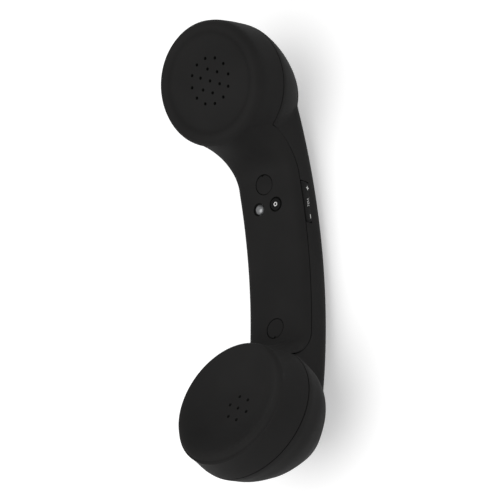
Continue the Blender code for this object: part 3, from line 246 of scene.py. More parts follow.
# Studio and camera
TABLE_REACH = 3.0             # from the middle to each edge of the table
TABLE_GREY = 0.86
TABLE_ROUGHNESS = 0.9
TABLE_LIFT = 0.37             # glow that makes the table paler without lighting the handset
SKY_STRENGTH = 0.55
LAMP_PLACE = (0.10, -0.36, 1.27)
LAMP_TARGET = (0.0, 0.0, 0.02)
LAMP_SIZE = 1.2
LAMP_POWER = 9.0              # watts
CAMERA_LENS = 169.47          # millimetres, as the sensor
CAMERA_SENSOR = 36.0
CAMERA_REACH = (0.05, 20.0)   # nearest and farthest that it sees
CAMERA_PLACE = (0.574868, -0.300036, 0.786907)
CAMERA_TURN = ((0.7744, -0.0845, -0.6270),    # its right
               (0.2533, 0.9496, 0.1848),      # its up
               (0.5798, -0.3020, 0.7568))     # its back

# Mesh density of the shown pieces
SIDES = 96                    # of each cup
NECK_COLUMNS = 10             # from the middle of the face to its side
NECK_RANGE = range(-NECK_COLUMNS, NECK_COLUMNS + 1)
NECK_ROWS = 14
HANDLE_ROWS = 24
BACK_ROWS = 44
END_TURNS = (0.0, 0.08, 0.2, 0.35, 0.5, 0.7, 0.85, 1.0)
CORNER_STEPS = 8
WALL_SHARES = (0.0, 0.12, 0.25, 0.4, 0.6, 0.8, 1.0)
SMOOTH_STEPS = 4              # between two points of a cup's profile
ROUND_SIDES = 72
SMALL_SIDES = 32
PILOT_SIDES = 24
HOLE_SIDES = 20
THIN_SIDES = 16
DOME_STEPS = 14
ROCKER_ROWS = 24
ROCKER_TURNS = 16

# How the shells are put together and softened
FLAT_SHARE = 0.4              # of the columns across the handle's face
EDGE_SHARE = 0.5
SEAM_OVERLAP = 0.0010         # of both shells past the seam, before the cut
CUP_REACH = 0.006             # of the back's cups past it
CORNER_SHARE = 0.95           # of the half width that the back's rounding may take
CREST_STEP = 0.00006          # least distance between rows inside the cap
JOINED = 0.6                  # share of the wall that a seat, collar or post runs into
MERGE = 0.000002
SKIN_VOXEL = 0.0008
SKIN_PASSES = 8
SKIN_RELAX = 0.5
SEAM_ROUND = 0.0001           # worn off each edge of the seam
SHELL_CREASE = 40.0           # degrees above which an edge of a shell stays sharp
CREASE = 35.0                 # and one of any other piece


def link(name, data):
    """Put a mesh, text, lamp or camera into the scene as a named object."""
    ob = bpy.data.objects.new(name, data)
    bpy.context.scene.collection.objects.link(ob)
    return ob


def edit(mesh, change):
    """Make one change to a mesh by way of bmesh."""
    bm = bmesh.new()
    bm.from_mesh(mesh)
    change(bm)
    bm.to_mesh(mesh)
    bm.free()


def mesh_from(name, verts, faces):
    """Build a mesh whose faces point outwards."""
    mesh = bpy.data.meshes.new(name)
    mesh.from_pydata([tuple(v) for v in verts], [], faces)
    edit(mesh, lambda bm: bmesh.ops.recalc_face_normals(bm, faces=bm.faces))
    return mesh


def evaluated(ob):
    """The mesh of an object with its modifiers applied, or of a text."""
    graph = bpy.context.evaluated_depsgraph_get()
    return bpy.data.meshes.new_from_object(ob.evaluated_get(graph))


def apply_modifiers(ob):
    """Replace an object's mesh by what its modifiers make of it."""
    mesh = evaluated(ob)
    ob.modifiers.clear()
    ob.data = mesh


def combine(ob, cutter, operation, solver):
    """Apply one Boolean and remove the cutter."""
    mod = ob.modifiers.new(operation, "BOOLEAN")
    mod.operation = operation
    mod.solver = solver
    mod.object = cutter
    apply_modifiers(ob)
    bpy.data.objects.remove(cutter, do_unlink=True)


def exact(ob, cutter, operation):
    """Apply one exact Boolean and merge the points that it leaves on each other."""
    combine(ob, cutter, operation, "EXACT")
    edit(ob.data, lambda bm: bmesh.ops.remove_doubles(bm, verts=bm.verts, dist=MERGE))


def join(ob, part):
    """Add one solid to another."""
    exact(ob, part, "UNION")


def carve(ob, cutter):
    """Cut one solid out of another."""
    exact(ob, cutter, "DIFFERENCE")


def lerp(a, b, t):
    """Value between a and b."""
    return a + (b - a) * t


def interpolate(points, x):
    """Straight-line value at x of (x, y) points whose x falls."""
    for (x0, y0), (x1, y1) in zip(points, points[1:]):
        if x >= x1:
            return lerp(y0, y1, (x0 - x) / (x0 - x1))
    return points[-1][1]


class Cup:
    """One cup of the handset: a stack of circles on a leaning axis."""

    def __init__(self, sign, tilt, lean, cap, wall, back):
        self.sign = sign                                  # +1 ear, -1 mouth
        self.tilt = tilt
        self.centre = Vector((0.0, sign * CAP_SPACING / 2, CAP_HEIGHT))
        self.axis = Vector((0.0, -sign * math.sin(tilt), math.cos(tilt)))
        self.out = Vector((0.0, sign * math.cos(tilt), math.sin(tilt)))   # away from the handle
        self.side = Vector((1.0, 0.0, 0.0))
        self.lean = lean
        self.cap = cap
        self.wall = wall
        self.seam, self.radius = wall[-1]
        self.back = [(height, self.radius - drawn) for height, drawn in back]

    def point(self, angle, radius, height, lean=None):
        """Point on a circle; angle 0 is the far end, pi faces the handle."""
        shift = self.lean(height) if lean is None else lean
        return (self.centre + self.axis * height - self.out * shift
                + (self.out * math.cos(angle) + self.side * math.sin(angle)) * radius)

    def wall_point(self, angle, height, inset=0.0):
        """Point on the cup's side wall."""
        return self.point(angle, interpolate(self.wall + self.back, height) - inset, height)

    def cap_inside(self):
        """The cap's rows moved in by the wall, kept in order under the crest of the rim."""
        rows = [(0.0, 0.0)] + self.cap + [self.wall[0][::-1]]
        limit = self.wall[0][1] - WALL
        crest = max(range(len(rows)), key=lambda i: rows[i][1])
        inside = []
        for i in range(1, len(rows) - 1):
            run = rows[i + 1][0] - rows[i - 1][0]
            rise = rows[i + 1][1] - rows[i - 1][1]
            length = math.hypot(run, rise)
            radius = rows[i][0] + WALL * rise / length
            height = rows[i][1] - WALL * run / length
            inside.append([min(radius, limit - (len(rows) - 1 - i) * CREST_STEP), height])
            if i > crest:
                inside[-1][1] = min(height, inside[-2][1] - CREST_STEP)
        return inside

    def leave(self, column):
        """Height at which a column of the neck leaves the wall."""
        top = self.wall[0][0]
        share = abs(column) / NECK_COLUMNS
        return lerp(top, self.seam - SEAM_OVERLAP, share ** NECK_SPREAD)


def ear_lean(height):
    """How far the middle of the ear cup lies towards the handle."""
    below = min(height, 0.0)
    return EAR_LEAN + below * below / (2 * EAR_LEAN_RADIUS)


def mouth_lean(height):
    """How far the middle of the mouth cup lies towards the handle."""
    return min(MOUTH_LEAN - MOUTH_LEAN_SLOPE * height, MOUTH_LEAN_MAX)


def smooth(points, steps):
    """More points on a smooth curve through the given ones."""
    ends = [points[0]] + points + [points[-1]]
    found = []
    for a, b, c, d in zip(ends, ends[1:], ends[2:], ends[3:]):
        for i in range(steps):
            t = i / steps
            found.append(tuple(0.5 * (2 * q + (r - p) * t + (2 * p - 5 * q + 4 * r - s) * t * t
                                      + (3 * q - p - 3 * r + s) * t ** 3) for p, q, r, s in zip(a, b, c, d)))
    return found + [points[-1]]


def smooth_cup(sign, tilt, lean, cap, wall, back):
    """A cup whose cap, wall and back are drawn as smooth curves."""
    seam, radius = wall[-1]
    line = smooth(wall + [(height, radius - drawn) for height, drawn in back], SMOOTH_STEPS)
    rim = smooth([(0.0, 0.0)] + cap + [wall[0][::-1]], SMOOTH_STEPS)[1:-1]
    below = seam - MERGE / 2
    return Cup(sign, tilt, lean, rim, [p for p in line if p[0] > below],
               [(height, radius - reach) for height, reach in line if height < below])


EAR = smooth_cup(1, EAR_TILT, ear_lean,
                 cap=[(EAR_MIDDLE * EAR_DISH, 0.0), (EAR_DISH, 0.0),
                      (lerp(EAR_DISH, EAR_CREST, EAR_SWEEP[0]), EAR_CREST_RISE * EAR_SWEEP[1]),
                      (EAR_CREST, EAR_CREST_RISE),
                      (lerp(EAR_CREST, EAR_RADIUS, EAR_SHOULDER[0]), EAR_CREST_RISE * EAR_SHOULDER[1])],
                 wall=[(0.0, EAR_RADIUS - EAR_RIM_TAPER), (-EAR_RIM_DEPTH, EAR_RADIUS),
                       (EAR_SEAM, EAR_RADIUS)],
                 back=EAR_BACK)
MOUTH = smooth_cup(-1, MOUTH_TILT, mouth_lean,
                   cap=[(MOUTH_DISH, 0.0)]
                   + [(lerp(MOUTH_DISH, MOUTH_CREST, out), MOUTH_CREST_RISE * up) for out, up in MOUTH_SWEEP]
                   + [(MOUTH_CREST, MOUTH_CREST_RISE),
                      (lerp(MOUTH_CREST, MOUTH_RIM, MOUTH_SHOULDER[0]),
                       MOUTH_CREST_RISE * MOUTH_SHOULDER[1])],
                   wall=[(MOUTH_EDGE_HEIGHT, MOUTH_RIM), (MOUTH_TAPER_HEIGHT, MOUTH_RIM + MOUTH_TAPER),
                         (MOUTH_SEAM, MOUTH_RADIUS)],
                   back=MOUTH_BACK)


def arch(y):
    """Rise of the arched handle above its lowest line."""
    return HANDLE_ARCH - math.sqrt(HANDLE_ARCH ** 2 - (y - ARCH_OFFSET) ** 2)


def face_height(y):
    """Height of the handle's face."""
    return HANDLE_THICKNESS + arch(y)


def seam_height(y):
    """Height of the seam along the handle."""
    return face_height(y) - SEAM_DEPTH


def bezier(p0, p1, p2, p3, t):
    """Point on a cubic curve."""
    u = 1 - t
    return p0 * u ** 3 + p1 * (3 * u * u * t) + p2 * (3 * u * t * t) + p3 * t ** 3


def tip(cup):
    """Point where the seam of the cup turns down to the handle."""
    half = math.pi * (1 - 2 * NECK_COLUMNS / SIDES) + SEAM_OVERLAP / interpolate(cup.wall, cup.seam)
    return cup.wall_point(half, cup.seam)


def neck_curve(cup, start, end, share):
    """Curve from the wall of a cup to the handle, as Bezier control points."""
    drop = start.z - end.z
    run = abs(start.y - end.y)
    down = Vector((0.0, -cup.sign * NECK_DRAFT, -1.0)).normalized()
    pull = Vector((0.0, cup.sign, 0.0))
    leaving = start + down * drop * lerp(*NECK_DROP, share)
    arriving = end + pull * run * lerp(*NECK_RUN, share)
    return start, leaving, arriving, end


def neck_end(cup):
    """Where the face starts to rise towards a cup."""
    return NECK_EAR if cup.sign > 0 else NECK_MOUTH


def seam_line(offset=0.0):
    """Side view of the seam from the far end of the ear to that of the mouth, as (y, z)."""
    points = []
    for cup in (EAR, MOUTH):
        corner = tip(cup)
        far = corner + cup.out * 3 * cup.radius
        end = Vector((HANDLE_WIDTH / 2, neck_end(cup), seam_height(neck_end(cup))))
        curve = neck_curve(cup, corner, end, 1.0)
        points.append([far] + [bezier(*curve, i / NECK_ROWS) for i in range(NECK_ROWS + 1)])
    middle = [Vector((0, y, seam_height(y))) for y in handle_stations()[1:-1]]
    line = [Vector((p.y, p.z)) for p in points[0] + middle + points[1][::-1]]
    if not offset:
        return line
    moved = []
    for i, p in enumerate(line):
        before = (p - line[i - 1]).normalized() if i else None
        after = (line[i + 1] - p).normalized() if i + 1 < len(line) else None
        normals = [Vector((-d.y, d.x)) for d in (before, after) if d is not None]
        normal = sum(normals, Vector((0, 0))).normalized()
        moved.append(p + normal * (offset / normal.dot(normals[0])))
    return moved


def handle_stations():
    """Places along the handle between its two necks."""
    return [lerp(NECK_EAR, NECK_MOUTH, i / HANDLE_ROWS) for i in range(HANDLE_ROWS + 1)]


def face_point(column, y):
    """Point of the handle's face: flat in the middle, a rounded edge, then the side wall."""
    share = abs(column) / NECK_COLUMNS
    side = -1 if column < 0 else 1
    flat = HANDLE_WIDTH / 2 - FACE_EDGE
    turn = math.pi / 2 * min(max((share - FLAT_SHARE) / EDGE_SHARE, 0.0), 1.0)
    across = flat * min(share / FLAT_SHARE, 1.0) + FACE_EDGE * math.sin(turn)
    top = face_height(y) - FACE_EDGE * (1 - math.cos(turn))
    past = max(share - FLAT_SHARE - EDGE_SHARE, 0.0) / (1 - FLAT_SHARE - EDGE_SHARE)
    return Vector((side * across, y, lerp(top, seam_height(y) - SEAM_OVERLAP, past)))


def front_skin():
    """Skin of the front shell: both caps and the handle's face as one sheet of quads.

    Returns the outer points, their faces, and the matching inner points of both cups;
    the inner points of the neck and handle follow from the sheet's normals.
    """
    outer = []
    inner = []
    faces = []

    def add(point, inside=None):
        outer.append(point)
        inner.append(inside)
        return len(outer) - 1

    borders = {}
    for cup in (EAR, MOUTH):
        centre = add(cup.point(0.0, 0.0, 0.0, 0.0), cup.point(0.0, 0.0, -WALL, 0.0))
        inside = cup.cap_inside()
        columns = []
        for k in range(SIDES):
            angle = 2 * math.pi * k / SIDES
            facing = k - SIDES // 2
            in_neck = abs(facing) <= NECK_COLUMNS
            low = cup.leave(facing) if in_neck else cup.seam - SEAM_OVERLAP
            column = []
            for (radius, height), (radius_in, height_in) in zip(cup.cap, inside):
                lean = cup.lean(0.0) * min(1.0, radius / cup.cap[-2][0])
                column.append(add(cup.point(angle, radius, height, lean),
                                  cup.point(angle, radius_in, height_in, lean)))
            top = cup.wall[0][0]
            top_in = min(top, inside[-1][1] - CREST_STEP)
            low_in = min(low, top_in - 3 * CREST_STEP)
            for share in WALL_SHARES:
                if facing == 0 and share > 0:
                    break
                column.append(add(cup.wall_point(angle, lerp(top, low, share)),
                                  cup.wall_point(angle, lerp(top_in, low_in, share), WALL)))
            columns.append(column)
        for k in range(SIDES):
            a, b = columns[k], columns[(k + 1) % SIDES]
            faces.append((centre, a[0], b[0]))
            for i in range(max(len(a), len(b)) - 1):
                quad = [a[min(i, len(a) - 1)], a[min(i + 1, len(a) - 1)],
                        b[min(i + 1, len(b) - 1)], b[min(i, len(b) - 1)]]
                face = list(dict.fromkeys(quad))
                if len(face) > 2:
                    faces.append(tuple(face))
        borders[cup.sign] = [columns[SIDES // 2 - c][-1] for c in NECK_RANGE]

    grid = []
    for cup in (EAR, MOUTH):
        rows = [borders[cup.sign]]
        for i in range(1, NECK_ROWS):
            row = []
            for c, first in zip(NECK_RANGE, borders[cup.sign]):
                curve = neck_curve(cup, outer[first], face_point(c, neck_end(cup)), abs(c) / NECK_COLUMNS)
                row.append(add(bezier(*curve, i / NECK_ROWS)))
            rows.append(row)
        grid.append(rows)
    middle = [[add(face_point(c, y)) for c in NECK_RANGE] for y in handle_stations()]
    rows = grid[0] + middle + grid[1][::-1]
    for a, b in zip(rows, rows[1:]):
        for n in range(2 * NECK_COLUMNS):
            faces.append((a[n], a[n + 1], b[n + 1], b[n]))
    return outer, faces, inner


def thicken(name, outer, faces, inner):
    """Close a sheet into a wall: inner points, reversed inner faces and a rim."""
    sheet = mesh_from(name, outer, faces)
    if sum(face.normal.z * face.area for face in sheet.polygons) < 0:
        sheet.flip_normals()
    count = len(outer)
    under = [point if point is not None else vertex.co - vertex.normal * WALL
             for point, vertex in zip(inner, sheet.vertices)]
    polygons = [tuple(face.vertices) for face in sheet.polygons]
    edges = [(a, b) for face in polygons for a, b in zip(face, face[1:] + face[:1])]
    border = set(edges) - {(b, a) for a, b in edges}
    solid = polygons + [tuple(count + i for i in reversed(face)) for face in polygons]
    solid += [(b, a, count + a, count + b) for a, b in sorted(border)]
    bpy.data.meshes.remove(sheet)
    return mesh_from(name, outer + under, solid)


def slab(name, line, level):
    """Solid between the seam line and a level plane, wider than the handset."""
    half = 2 * MOUTH_RADIUS
    outline = line + [Vector((line[-1].x, level)), Vector((line[0].x, level))]
    verts = [Vector((x, p.x, p.y)) for x in (-half, half) for p in outline]
    n = len(outline)
    faces = [tuple(range(n)), tuple(range(2 * n - 1, n - 1, -1))]
    faces += [(i, (i + 1) % n, n + (i + 1) % n, n + i) for i in range(n)]
    return link(name, mesh_from(name, verts, faces))


def loft(name, rings):
    """Closed solid through rings of equally many points, with a fan over each end."""
    n = len(rings[0])
    verts = [point for ring in rings for point in ring]
    faces = []
    for j in range(len(rings) - 1):
        for k in range(n):
            m = (k + 1) % n
            faces.append((j * n + k, j * n + m, (j + 1) * n + m, (j + 1) * n + k))
    for ring, first in ((rings[0], 0), (rings[-1], len(verts) - n)):
        verts.append(sum(ring, Vector()) / n)
        faces += [(first + k, first + (k + 1) % n, len(verts) - 1) for k in range(n)]
    return link(name, mesh_from(name, verts, faces))


def cup_solid(name, cup, inset):
    """Closed stack of circles from above the seam to the cup's back."""
    heights = [cup.seam + CUP_REACH, cup.seam] + [height for height, _ in cup.back]
    rings = []
    for height in heights:
        lift = inset if height == heights[-1] else 0.0
        radius = interpolate(cup.wall + cup.back, height) - inset
        rings.append([cup.point(2 * math.pi * k / SIDES, radius, height + lift, cup.lean(height))
                      for k in range(SIDES)])
    return loft(name, rings)


def handle_solid(name, inset):
    """Back of the handle as a loft of sections with rounded lower corners and rounded ends."""
    half = HANDLE_WIDTH / 2
    low = HANDLE_END_MOUTH + inset
    high = HANDLE_END_EAR - inset
    turn = half - WALL - END_WIDTH
    ends = [(turn * (1 - math.cos(a)), turn * (1 - math.sin(a)))
            for a in (math.pi / 2 * t for t in END_TURNS)]
    straight = [lerp(low + turn, high - turn, i / BACK_ROWS) for i in range(1, BACK_ROWS)]
    sections = ([(low + run, half - inset - narrow) for run, narrow in ends]
                + [(y, half - inset) for y in straight]
                + [(high - run, half - inset - narrow) for run, narrow in reversed(ends)])
    corners = [math.pi / 2 * s / CORNER_STEPS for s in range(CORNER_STEPS + 1)]
    rings = []
    for y, width in sections:
        bottom = arch(y) + inset
        radius = min(BACK_EDGE - inset, width * CORNER_SHARE)
        top = seam_height(y) + SEAM_DEPTH
        if y > NECK_EAR or y < NECK_MOUTH:
            top += HANDLE_THICKNESS / 2
        left = [Vector((radius - width - radius * math.cos(a), y, bottom + radius - radius * math.sin(a)))
                for a in corners]
        right = [Vector((-p.x, y, p.z)) for p in reversed(left)]
        rings.append([Vector((-width, y, top))] + left + right + [Vector((width, y, top))])
    return loft(name, rings)


def circle(radius, height, sides, x=0.0, y=0.0):
    """Points of a level circle round (x, y)."""
    turns = [2 * math.pi * k / sides for k in range(sides)]
    return [Vector((x + radius * math.cos(a), y + radius * math.sin(a), height)) for a in turns]


def turned(name, frame, profile, sides=ROUND_SIDES):
    """Solid of revolution about the frame's Z from (radius, height) points, bottom to top."""
    ob = loft(name, [circle(radius, height, sides) for radius, height in profile])
    ob.data.vertices[-2].co.z = profile[0][1]
    ob.data.vertices[-1].co.z = profile[-1][1]
    ob.matrix_world = frame
    return ob


def pipe(name, frame, outer, inner, low, high, sides=ROUND_SIDES):
    """Ring with a square section about the frame's Z."""
    corners = ((outer, low), (outer, high), (inner, high), (inner, low))
    verts = [point for radius, height in corners for point in circle(radius, height, sides)]
    faces = [(j * sides + k, j * sides + (k + 1) % sides, (j + 1) % 4 * sides + (k + 1) % sides,
              (j + 1) % 4 * sides + k) for j in range(4) for k in range(sides)]
    ob = link(name, mesh_from(name, verts, faces))
    ob.matrix_world = frame
    return ob


def rod(name, frame, radius, low, high, sides=THIN_SIDES):
    """Round bar about the frame's Z."""
    return turned(name, frame, [(radius, low), (radius, high)], sides)


def block(name, frame, size, low):
    """Box centred on the frame's Z, standing on the height low."""
    x, y, z = size
    verts = [Vector((i * x / 2, j * y / 2, low + k * z)) for k in (0, 1) for j in (-1, 1) for i in (-1, 1)]
    faces = [(0, 1, 3, 2), (4, 5, 7, 6), (0, 1, 5, 4), (2, 3, 7, 6), (0, 2, 6, 4), (1, 3, 7, 5)]
    ob = link(name, mesh_from(name, verts, faces))
    ob.matrix_world = frame
    return ob


def face_frame(x, y):
    """Frame on the handle's face, Z along its normal."""
    slope = math.asin((y - ARCH_OFFSET) / HANDLE_ARCH)
    return Matrix.Translation((x, y, face_height(y))) @ Matrix.Rotation(slope, 4, "X")


def cap_frame(cup):
    """Frame in the middle of a cap's holes, Z along the cap's axis."""
    return Matrix.Translation(cup.centre) @ Matrix.Rotation(cup.sign * cup.tilt, 4, "X")


def place(x, y, z=0.0):
    """Upright frame at a point."""
    return Matrix.Translation((x, y, z))


def plug_frames():
    """Frame of each screw plug, by its end."""
    return {"ear": face_frame(0.0, PLUG_EAR), "mouth": face_frame(0.0, PLUG_MOUTH)}


def clamp_frames():
    """Frames of the posts for the receiver's clamp."""
    return [cap_frame(EAR) @ Matrix.Rotation(2 * math.pi * (k + 0.5) / CLAMP_SCREWS, 4, "Z")
            @ place(CLAMP_CIRCLE, 0.0) for k in range(CLAMP_SCREWS)]


# Heights of the volume rocker, hanging just below the seam
ROCKER_TOP = seam_height(ROCKER_Y - ROCKER_LENGTH / 2) - FIT
ROCKER_BOTTOM = ROCKER_TOP - ROCKER_HEIGHT

# Levels along the cap's axis, from the inside of the cap down
GASKET_TOP = -WALL - FIT
FRAME_TOP = GASKET_TOP - GASKET_THICKNESS - FIT
FRAME_BACK = FRAME_TOP - RECEIVER_DEPTH
FOAM_TOP = -WALL - FIT
BOOT_TOP = FOAM_TOP - FOAM_THICKNESS - FIT
BOOT_BACK = BOOT_TOP - BOOT_DEPTH

# Levels below the face at a screw plug
RECESS_DEPTH = PLUG_THICKNESS + FIT
SEAT_BACK = SCREW_SEAT + SEAT_THICKNESS
HEAD_BORE = SCREW_HEAD_RADIUS + 2 * FIT
PILOT_RADIUS = SCREW_RADIUS + FIT
FLANGE_TOP = -WALL - FIT      # of the answer button and the lens


def cut_sound_holes(ob, cup, rings):
    """Cut a middle hole and rings of holes through a cap."""
    frame = cap_frame(cup)
    spots = [(0.0, 0.0)]
    for count, radius in rings:
        turns = [2 * math.pi * k / count for k in range(count)]
        spots += [(radius * math.sin(a), radius * math.cos(a)) for a in turns]
    verts = []
    faces = []
    n = HOLE_SIDES
    for x, y in spots:
        first = len(verts)
        for z in (-2 * WALL, WALL):
            verts += [frame @ point for point in circle(HOLE_RADIUS, z, n, x, y)]
        faces.append(tuple(range(first + n - 1, first - 1, -1)))
        faces.append(tuple(range(first + n, first + 2 * n)))
        faces += [(first + k, first + (k + 1) % n, first + n + (k + 1) % n, first + n + k) for k in range(n)]
    carve(ob, link("holes", mesh_from("holes", verts, faces)))


def front_moulding():
    """Front shell: caps and face in one moulding, with its collars, posts and screw seats."""
    ob = link("front_moulding", thicken("front_moulding", *front_skin()))
    carve(ob, slab("front_cut", seam_line(-SEAM_ROUND), -HANDLE_THICKNESS))
    inside = -WALL * JOINED
    for frame in plug_frames().values():
        wide = PLUG_RADIUS + FIT + BOSS_WALL
        narrow = HEAD_BORE + BOSS_WALL
        join(ob, turned("seat", frame, [(narrow, -SEAT_BACK), (narrow, -RECESS_DEPTH - 2 * BOSS_WALL),
                                        (wide, -RECESS_DEPTH - BOSS_WALL), (wide, inside)]))
    ear = cap_frame(EAR)
    collar = RECEIVER_RADIUS + FIT
    join(ob, pipe("collar", ear, collar + COLLAR_WALL, collar, FRAME_BACK, inside))
    for frame in clamp_frames():
        join(ob, rod("post", frame, CLAMP_POST_RADIUS, FRAME_BACK, inside))
    mouth = cap_frame(MOUTH)
    collar = BOOT_RADIUS + FIT
    join(ob, pipe("collar", mouth, collar + COLLAR_WALL, collar, BOOT_BACK + BOOT_FLOOR, inside))
    for frame in plug_frames().values():
        bore = [(SCREW_RADIUS + 2 * FIT, -SEAT_BACK - FIT), (SCREW_RADIUS + 2 * FIT, -SCREW_SEAT),
                (HEAD_BORE, -SCREW_SEAT), (HEAD_BORE, -RECESS_DEPTH),
                (PLUG_RADIUS + FIT, -RECESS_DEPTH), (PLUG_RADIUS + FIT, 2 * WALL)]
        carve(ob, turned("bore", frame, bore))
    for frame in clamp_frames():
        pilot = SMALL_SCREW_RADIUS + FIT
        carve(ob, rod("pilot", frame, pilot, FRAME_BACK - FIT, -WALL - FIT))
    carve(ob, rod("button_hole", face_frame(CONTROL_X, CONTROL_Y), BUTTON_RADIUS + FIT, -2 * WALL, WALL))
    carve(ob, turned("lens_well", face_frame(-CONTROL_X, CONTROL_Y),
                     [(LENS_RADIUS + FIT, -2 * WALL), (LENS_RADIUS + FIT, -LENS_WELL_DEPTH),
                      (LENS_WELL_RADIUS, -LENS_WELL_DEPTH), (LENS_WELL_RADIUS, WALL)]))
    cut_sound_holes(ob, EAR, EAR_RINGS)
    cut_sound_holes(ob, MOUTH, MOUTH_RINGS)
    return ob


def side_switch_face():
    """Lateral place of the plungers of the two volume switches."""
    return BOARD_HALF_WIDTH - FIT + SWITCH_PLUNGER


def soften(ob):
    """Round off where cups and handle meet, by rebuilding the skin from small cells and relaxing it."""
    skin = ob.modifiers.new("skin", "REMESH")
    skin.mode = "VOXEL"
    skin.voxel_size = SKIN_VOXEL
    relax = ob.modifiers.new("relax", "SMOOTH")
    relax.factor = SKIN_RELAX
    relax.iterations = SKIN_PASSES
    apply_modifiers(ob)


def back_moulding():
    """Back shell: one rounded skin round cups and handle, hollowed and cut at the seam."""
    ob = cup_solid("back_moulding", EAR, 0.0)
    join(ob, handle_solid("handle", 0.0))
    join(ob, cup_solid("mouth", MOUTH, 0.0))
    soften(ob)
    room = cup_solid("room", EAR, WALL)
    join(room, handle_solid("handle_room", WALL))
    join(room, cup_solid("mouth_room", MOUTH, WALL))
    foot = -HANDLE_THICKNESS - WALL / 2
    for frame in plug_frames().values():
        carve(room, rod("boss", frame, SCREW_BOSS_RADIUS, foot, -SEAT_BACK - FIT, SMALL_SIDES))
        join(room, rod("pilot", frame, PILOT_RADIUS, -SCREW_SEAT - SCREW_LENGTH - FIT, 0.0,
                       PILOT_SIDES))
    post_top = BOARD_TOP - BOARD_THICKNESS - FIT
    for x in (-POST_X, POST_X):
        for y in (POST_EAR, POST_MOUTH):
            frame = place(x, y)
            carve(room, rod("post", frame, POST_RADIUS, arch(y) - WALL, post_top, PILOT_SIDES))
            if y == POST_MOUTH:
                join(room, rod("pilot", frame, SMALL_SCREW_RADIUS + FIT,
                               BOARD_TOP - SMALL_SCREW_LENGTH - FIT, BOARD_TOP))
    wall = HANDLE_WIDTH / 2
    pivot = place(wall - PIVOT_INSET, ROCKER_Y)
    lug_top = ROCKER_BOTTOM - 2 * FIT
    carve(room, block("lug", pivot, LUG_SIZE, lug_top - LUG_SIZE[2]))
    rocker_room = (2 * ROCKER_THICKNESS + 2 * WALL, ROCKER_LENGTH + 2 * FIT, 2 * ROCKER_HEIGHT)
    join(room, block("slot", place(wall, ROCKER_Y), rocker_room, ROCKER_BOTTOM - FIT))
    join(room, rod("pivot_hole", pivot, PIVOT_RADIUS + FIT, lug_top - 2 * PIVOT_RADIUS, BOARD_TOP))
    socket = (4 * WALL, SOCKET_SIZE[1] + 2 * FIT, SOCKET_SIZE[2] + 2 * FIT)
    join(room, block("socket_slot", place(-wall, SOCKET_Y), socket, BOARD_TOP))
    join(room, slab("back_cut", seam_line(SEAM_GAP + SEAM_ROUND), 2 * CAP_HEIGHT))
    combine(ob, room, "DIFFERENCE", "MANIFOLD")
    return ob


class Wire:
    """A socket of a material's nodes that takes part in sums."""

    def __init__(self, tree, socket=None):
        self.tree = tree
        self.socket = socket

    def node(self, kind, settings=None, inputs=None, output=0):
        """Add a node: its settings first, then the values or links of its sockets."""
        made = self.tree.nodes.new(kind)
        for name, value in (settings or {}).items():
            setattr(made, name, value)
        for name, value in (inputs or {}).items():
            if isinstance(value, Wire):
                self.tree.links.new(value.socket, made.inputs[name])
            else:
                made.inputs[name].default_value = value
        return Wire(self.tree, made.outputs[output])

    def maths(self, operation, *values):
        """Add a Math node for one operator."""
        return self.node("ShaderNodeMath", {"operation": operation}, dict(enumerate(values)))

    def __add__(self, other):
        return self.maths("ADD", self, other)

    def __radd__(self, other):
        return self.maths("ADD", other, self)

    def __sub__(self, other):
        return self.maths("SUBTRACT", self, other)

    def __rsub__(self, other):
        return self.maths("SUBTRACT", other, self)

    def __mul__(self, other):
        return self.maths("MULTIPLY", self, other)

    def __rmul__(self, other):
        return self.maths("MULTIPLY", other, self)


def noise(where, scale, detail=2.0, roughness=0.5):
    """Noise from 0 to 1; the scale is about how many blotches there are to the metre."""
    return where.node("ShaderNodeTexNoise", None,
                      {"Vector": where, "Scale": scale, "Detail": detail, "Roughness": roughness})


def between(where, share, low, high):
    """Colour between two colours."""
    return where.node("ShaderNodeMix", {"data_type": "RGBA"},
                      {0: share, 6: (*low, 1.0), 7: (*high, 1.0)}, 2)


def step(value, low, high):
    """Value that runs from 0 at low to 1 at high."""
    return value.node("ShaderNodeMapRange", {"interpolation_type": "SMOOTHSTEP"},
                      {"Value": value, "From Min": low, "From Max": high})


def finish(name, fixed, paint):
    """A Principled material: fixed values on its sockets, the rest from paint(where)."""
    mat = bpy.data.materials.new(name)
    mat.use_nodes = True
    tree = mat.node_tree
    shader = tree.nodes["Principled BSDF"]
    where = Wire(tree).node("ShaderNodeTexCoord", output="Object")
    made = paint(where)
    height = made.pop("height", None)
    if height:
        amount, distance = height
        made["Normal"] = where.node("ShaderNodeBump", None, {"Height": amount, "Distance": distance})
    for socket, value in fixed.items():
        shader.inputs[socket].default_value = value
    for socket, value in made.items():
        tree.links.new(value.socket, shader.inputs[socket])
    return mat


def soft_touch_paint(where):
    """Velvety rubber paint: faint clouds, a fine grain, spots polished by hands and a little dust."""
    cloud = noise(where, 35.0, 4.0)
    grain = noise(where, 4200.0, 2.0, 0.7)
    polish = step(noise(where, 60.0, 5.0, 0.6), 0.52, 0.72)
    dust = step(noise(where, 1500.0, 3.0, 0.6), 0.72, 0.80)
    tone = cloud * 0.8 + dust * 0.5
    return {"Base Color": between(where, tone, (0.0130, 0.0128, 0.0127), (0.0256, 0.0250, 0.0246)),
            "Roughness": 0.62 + cloud * 0.06 - polish * 0.07 + dust * 0.10,
            "height": (grain, 0.00003)}


def key_plastic(where):
    """Moulded key: spark-eroded texture, a little darker than the shells."""
    cloud = noise(where, 90.0, 3.0)
    spark = noise(where, 6000.0, 2.0, 0.6)
    return {"Base Color": between(where, cloud, (0.0070, 0.0070, 0.0070), (0.0125, 0.0123, 0.0123)),
            "Roughness": 0.48 + cloud * 0.10, "height": (spark, 0.00002)}


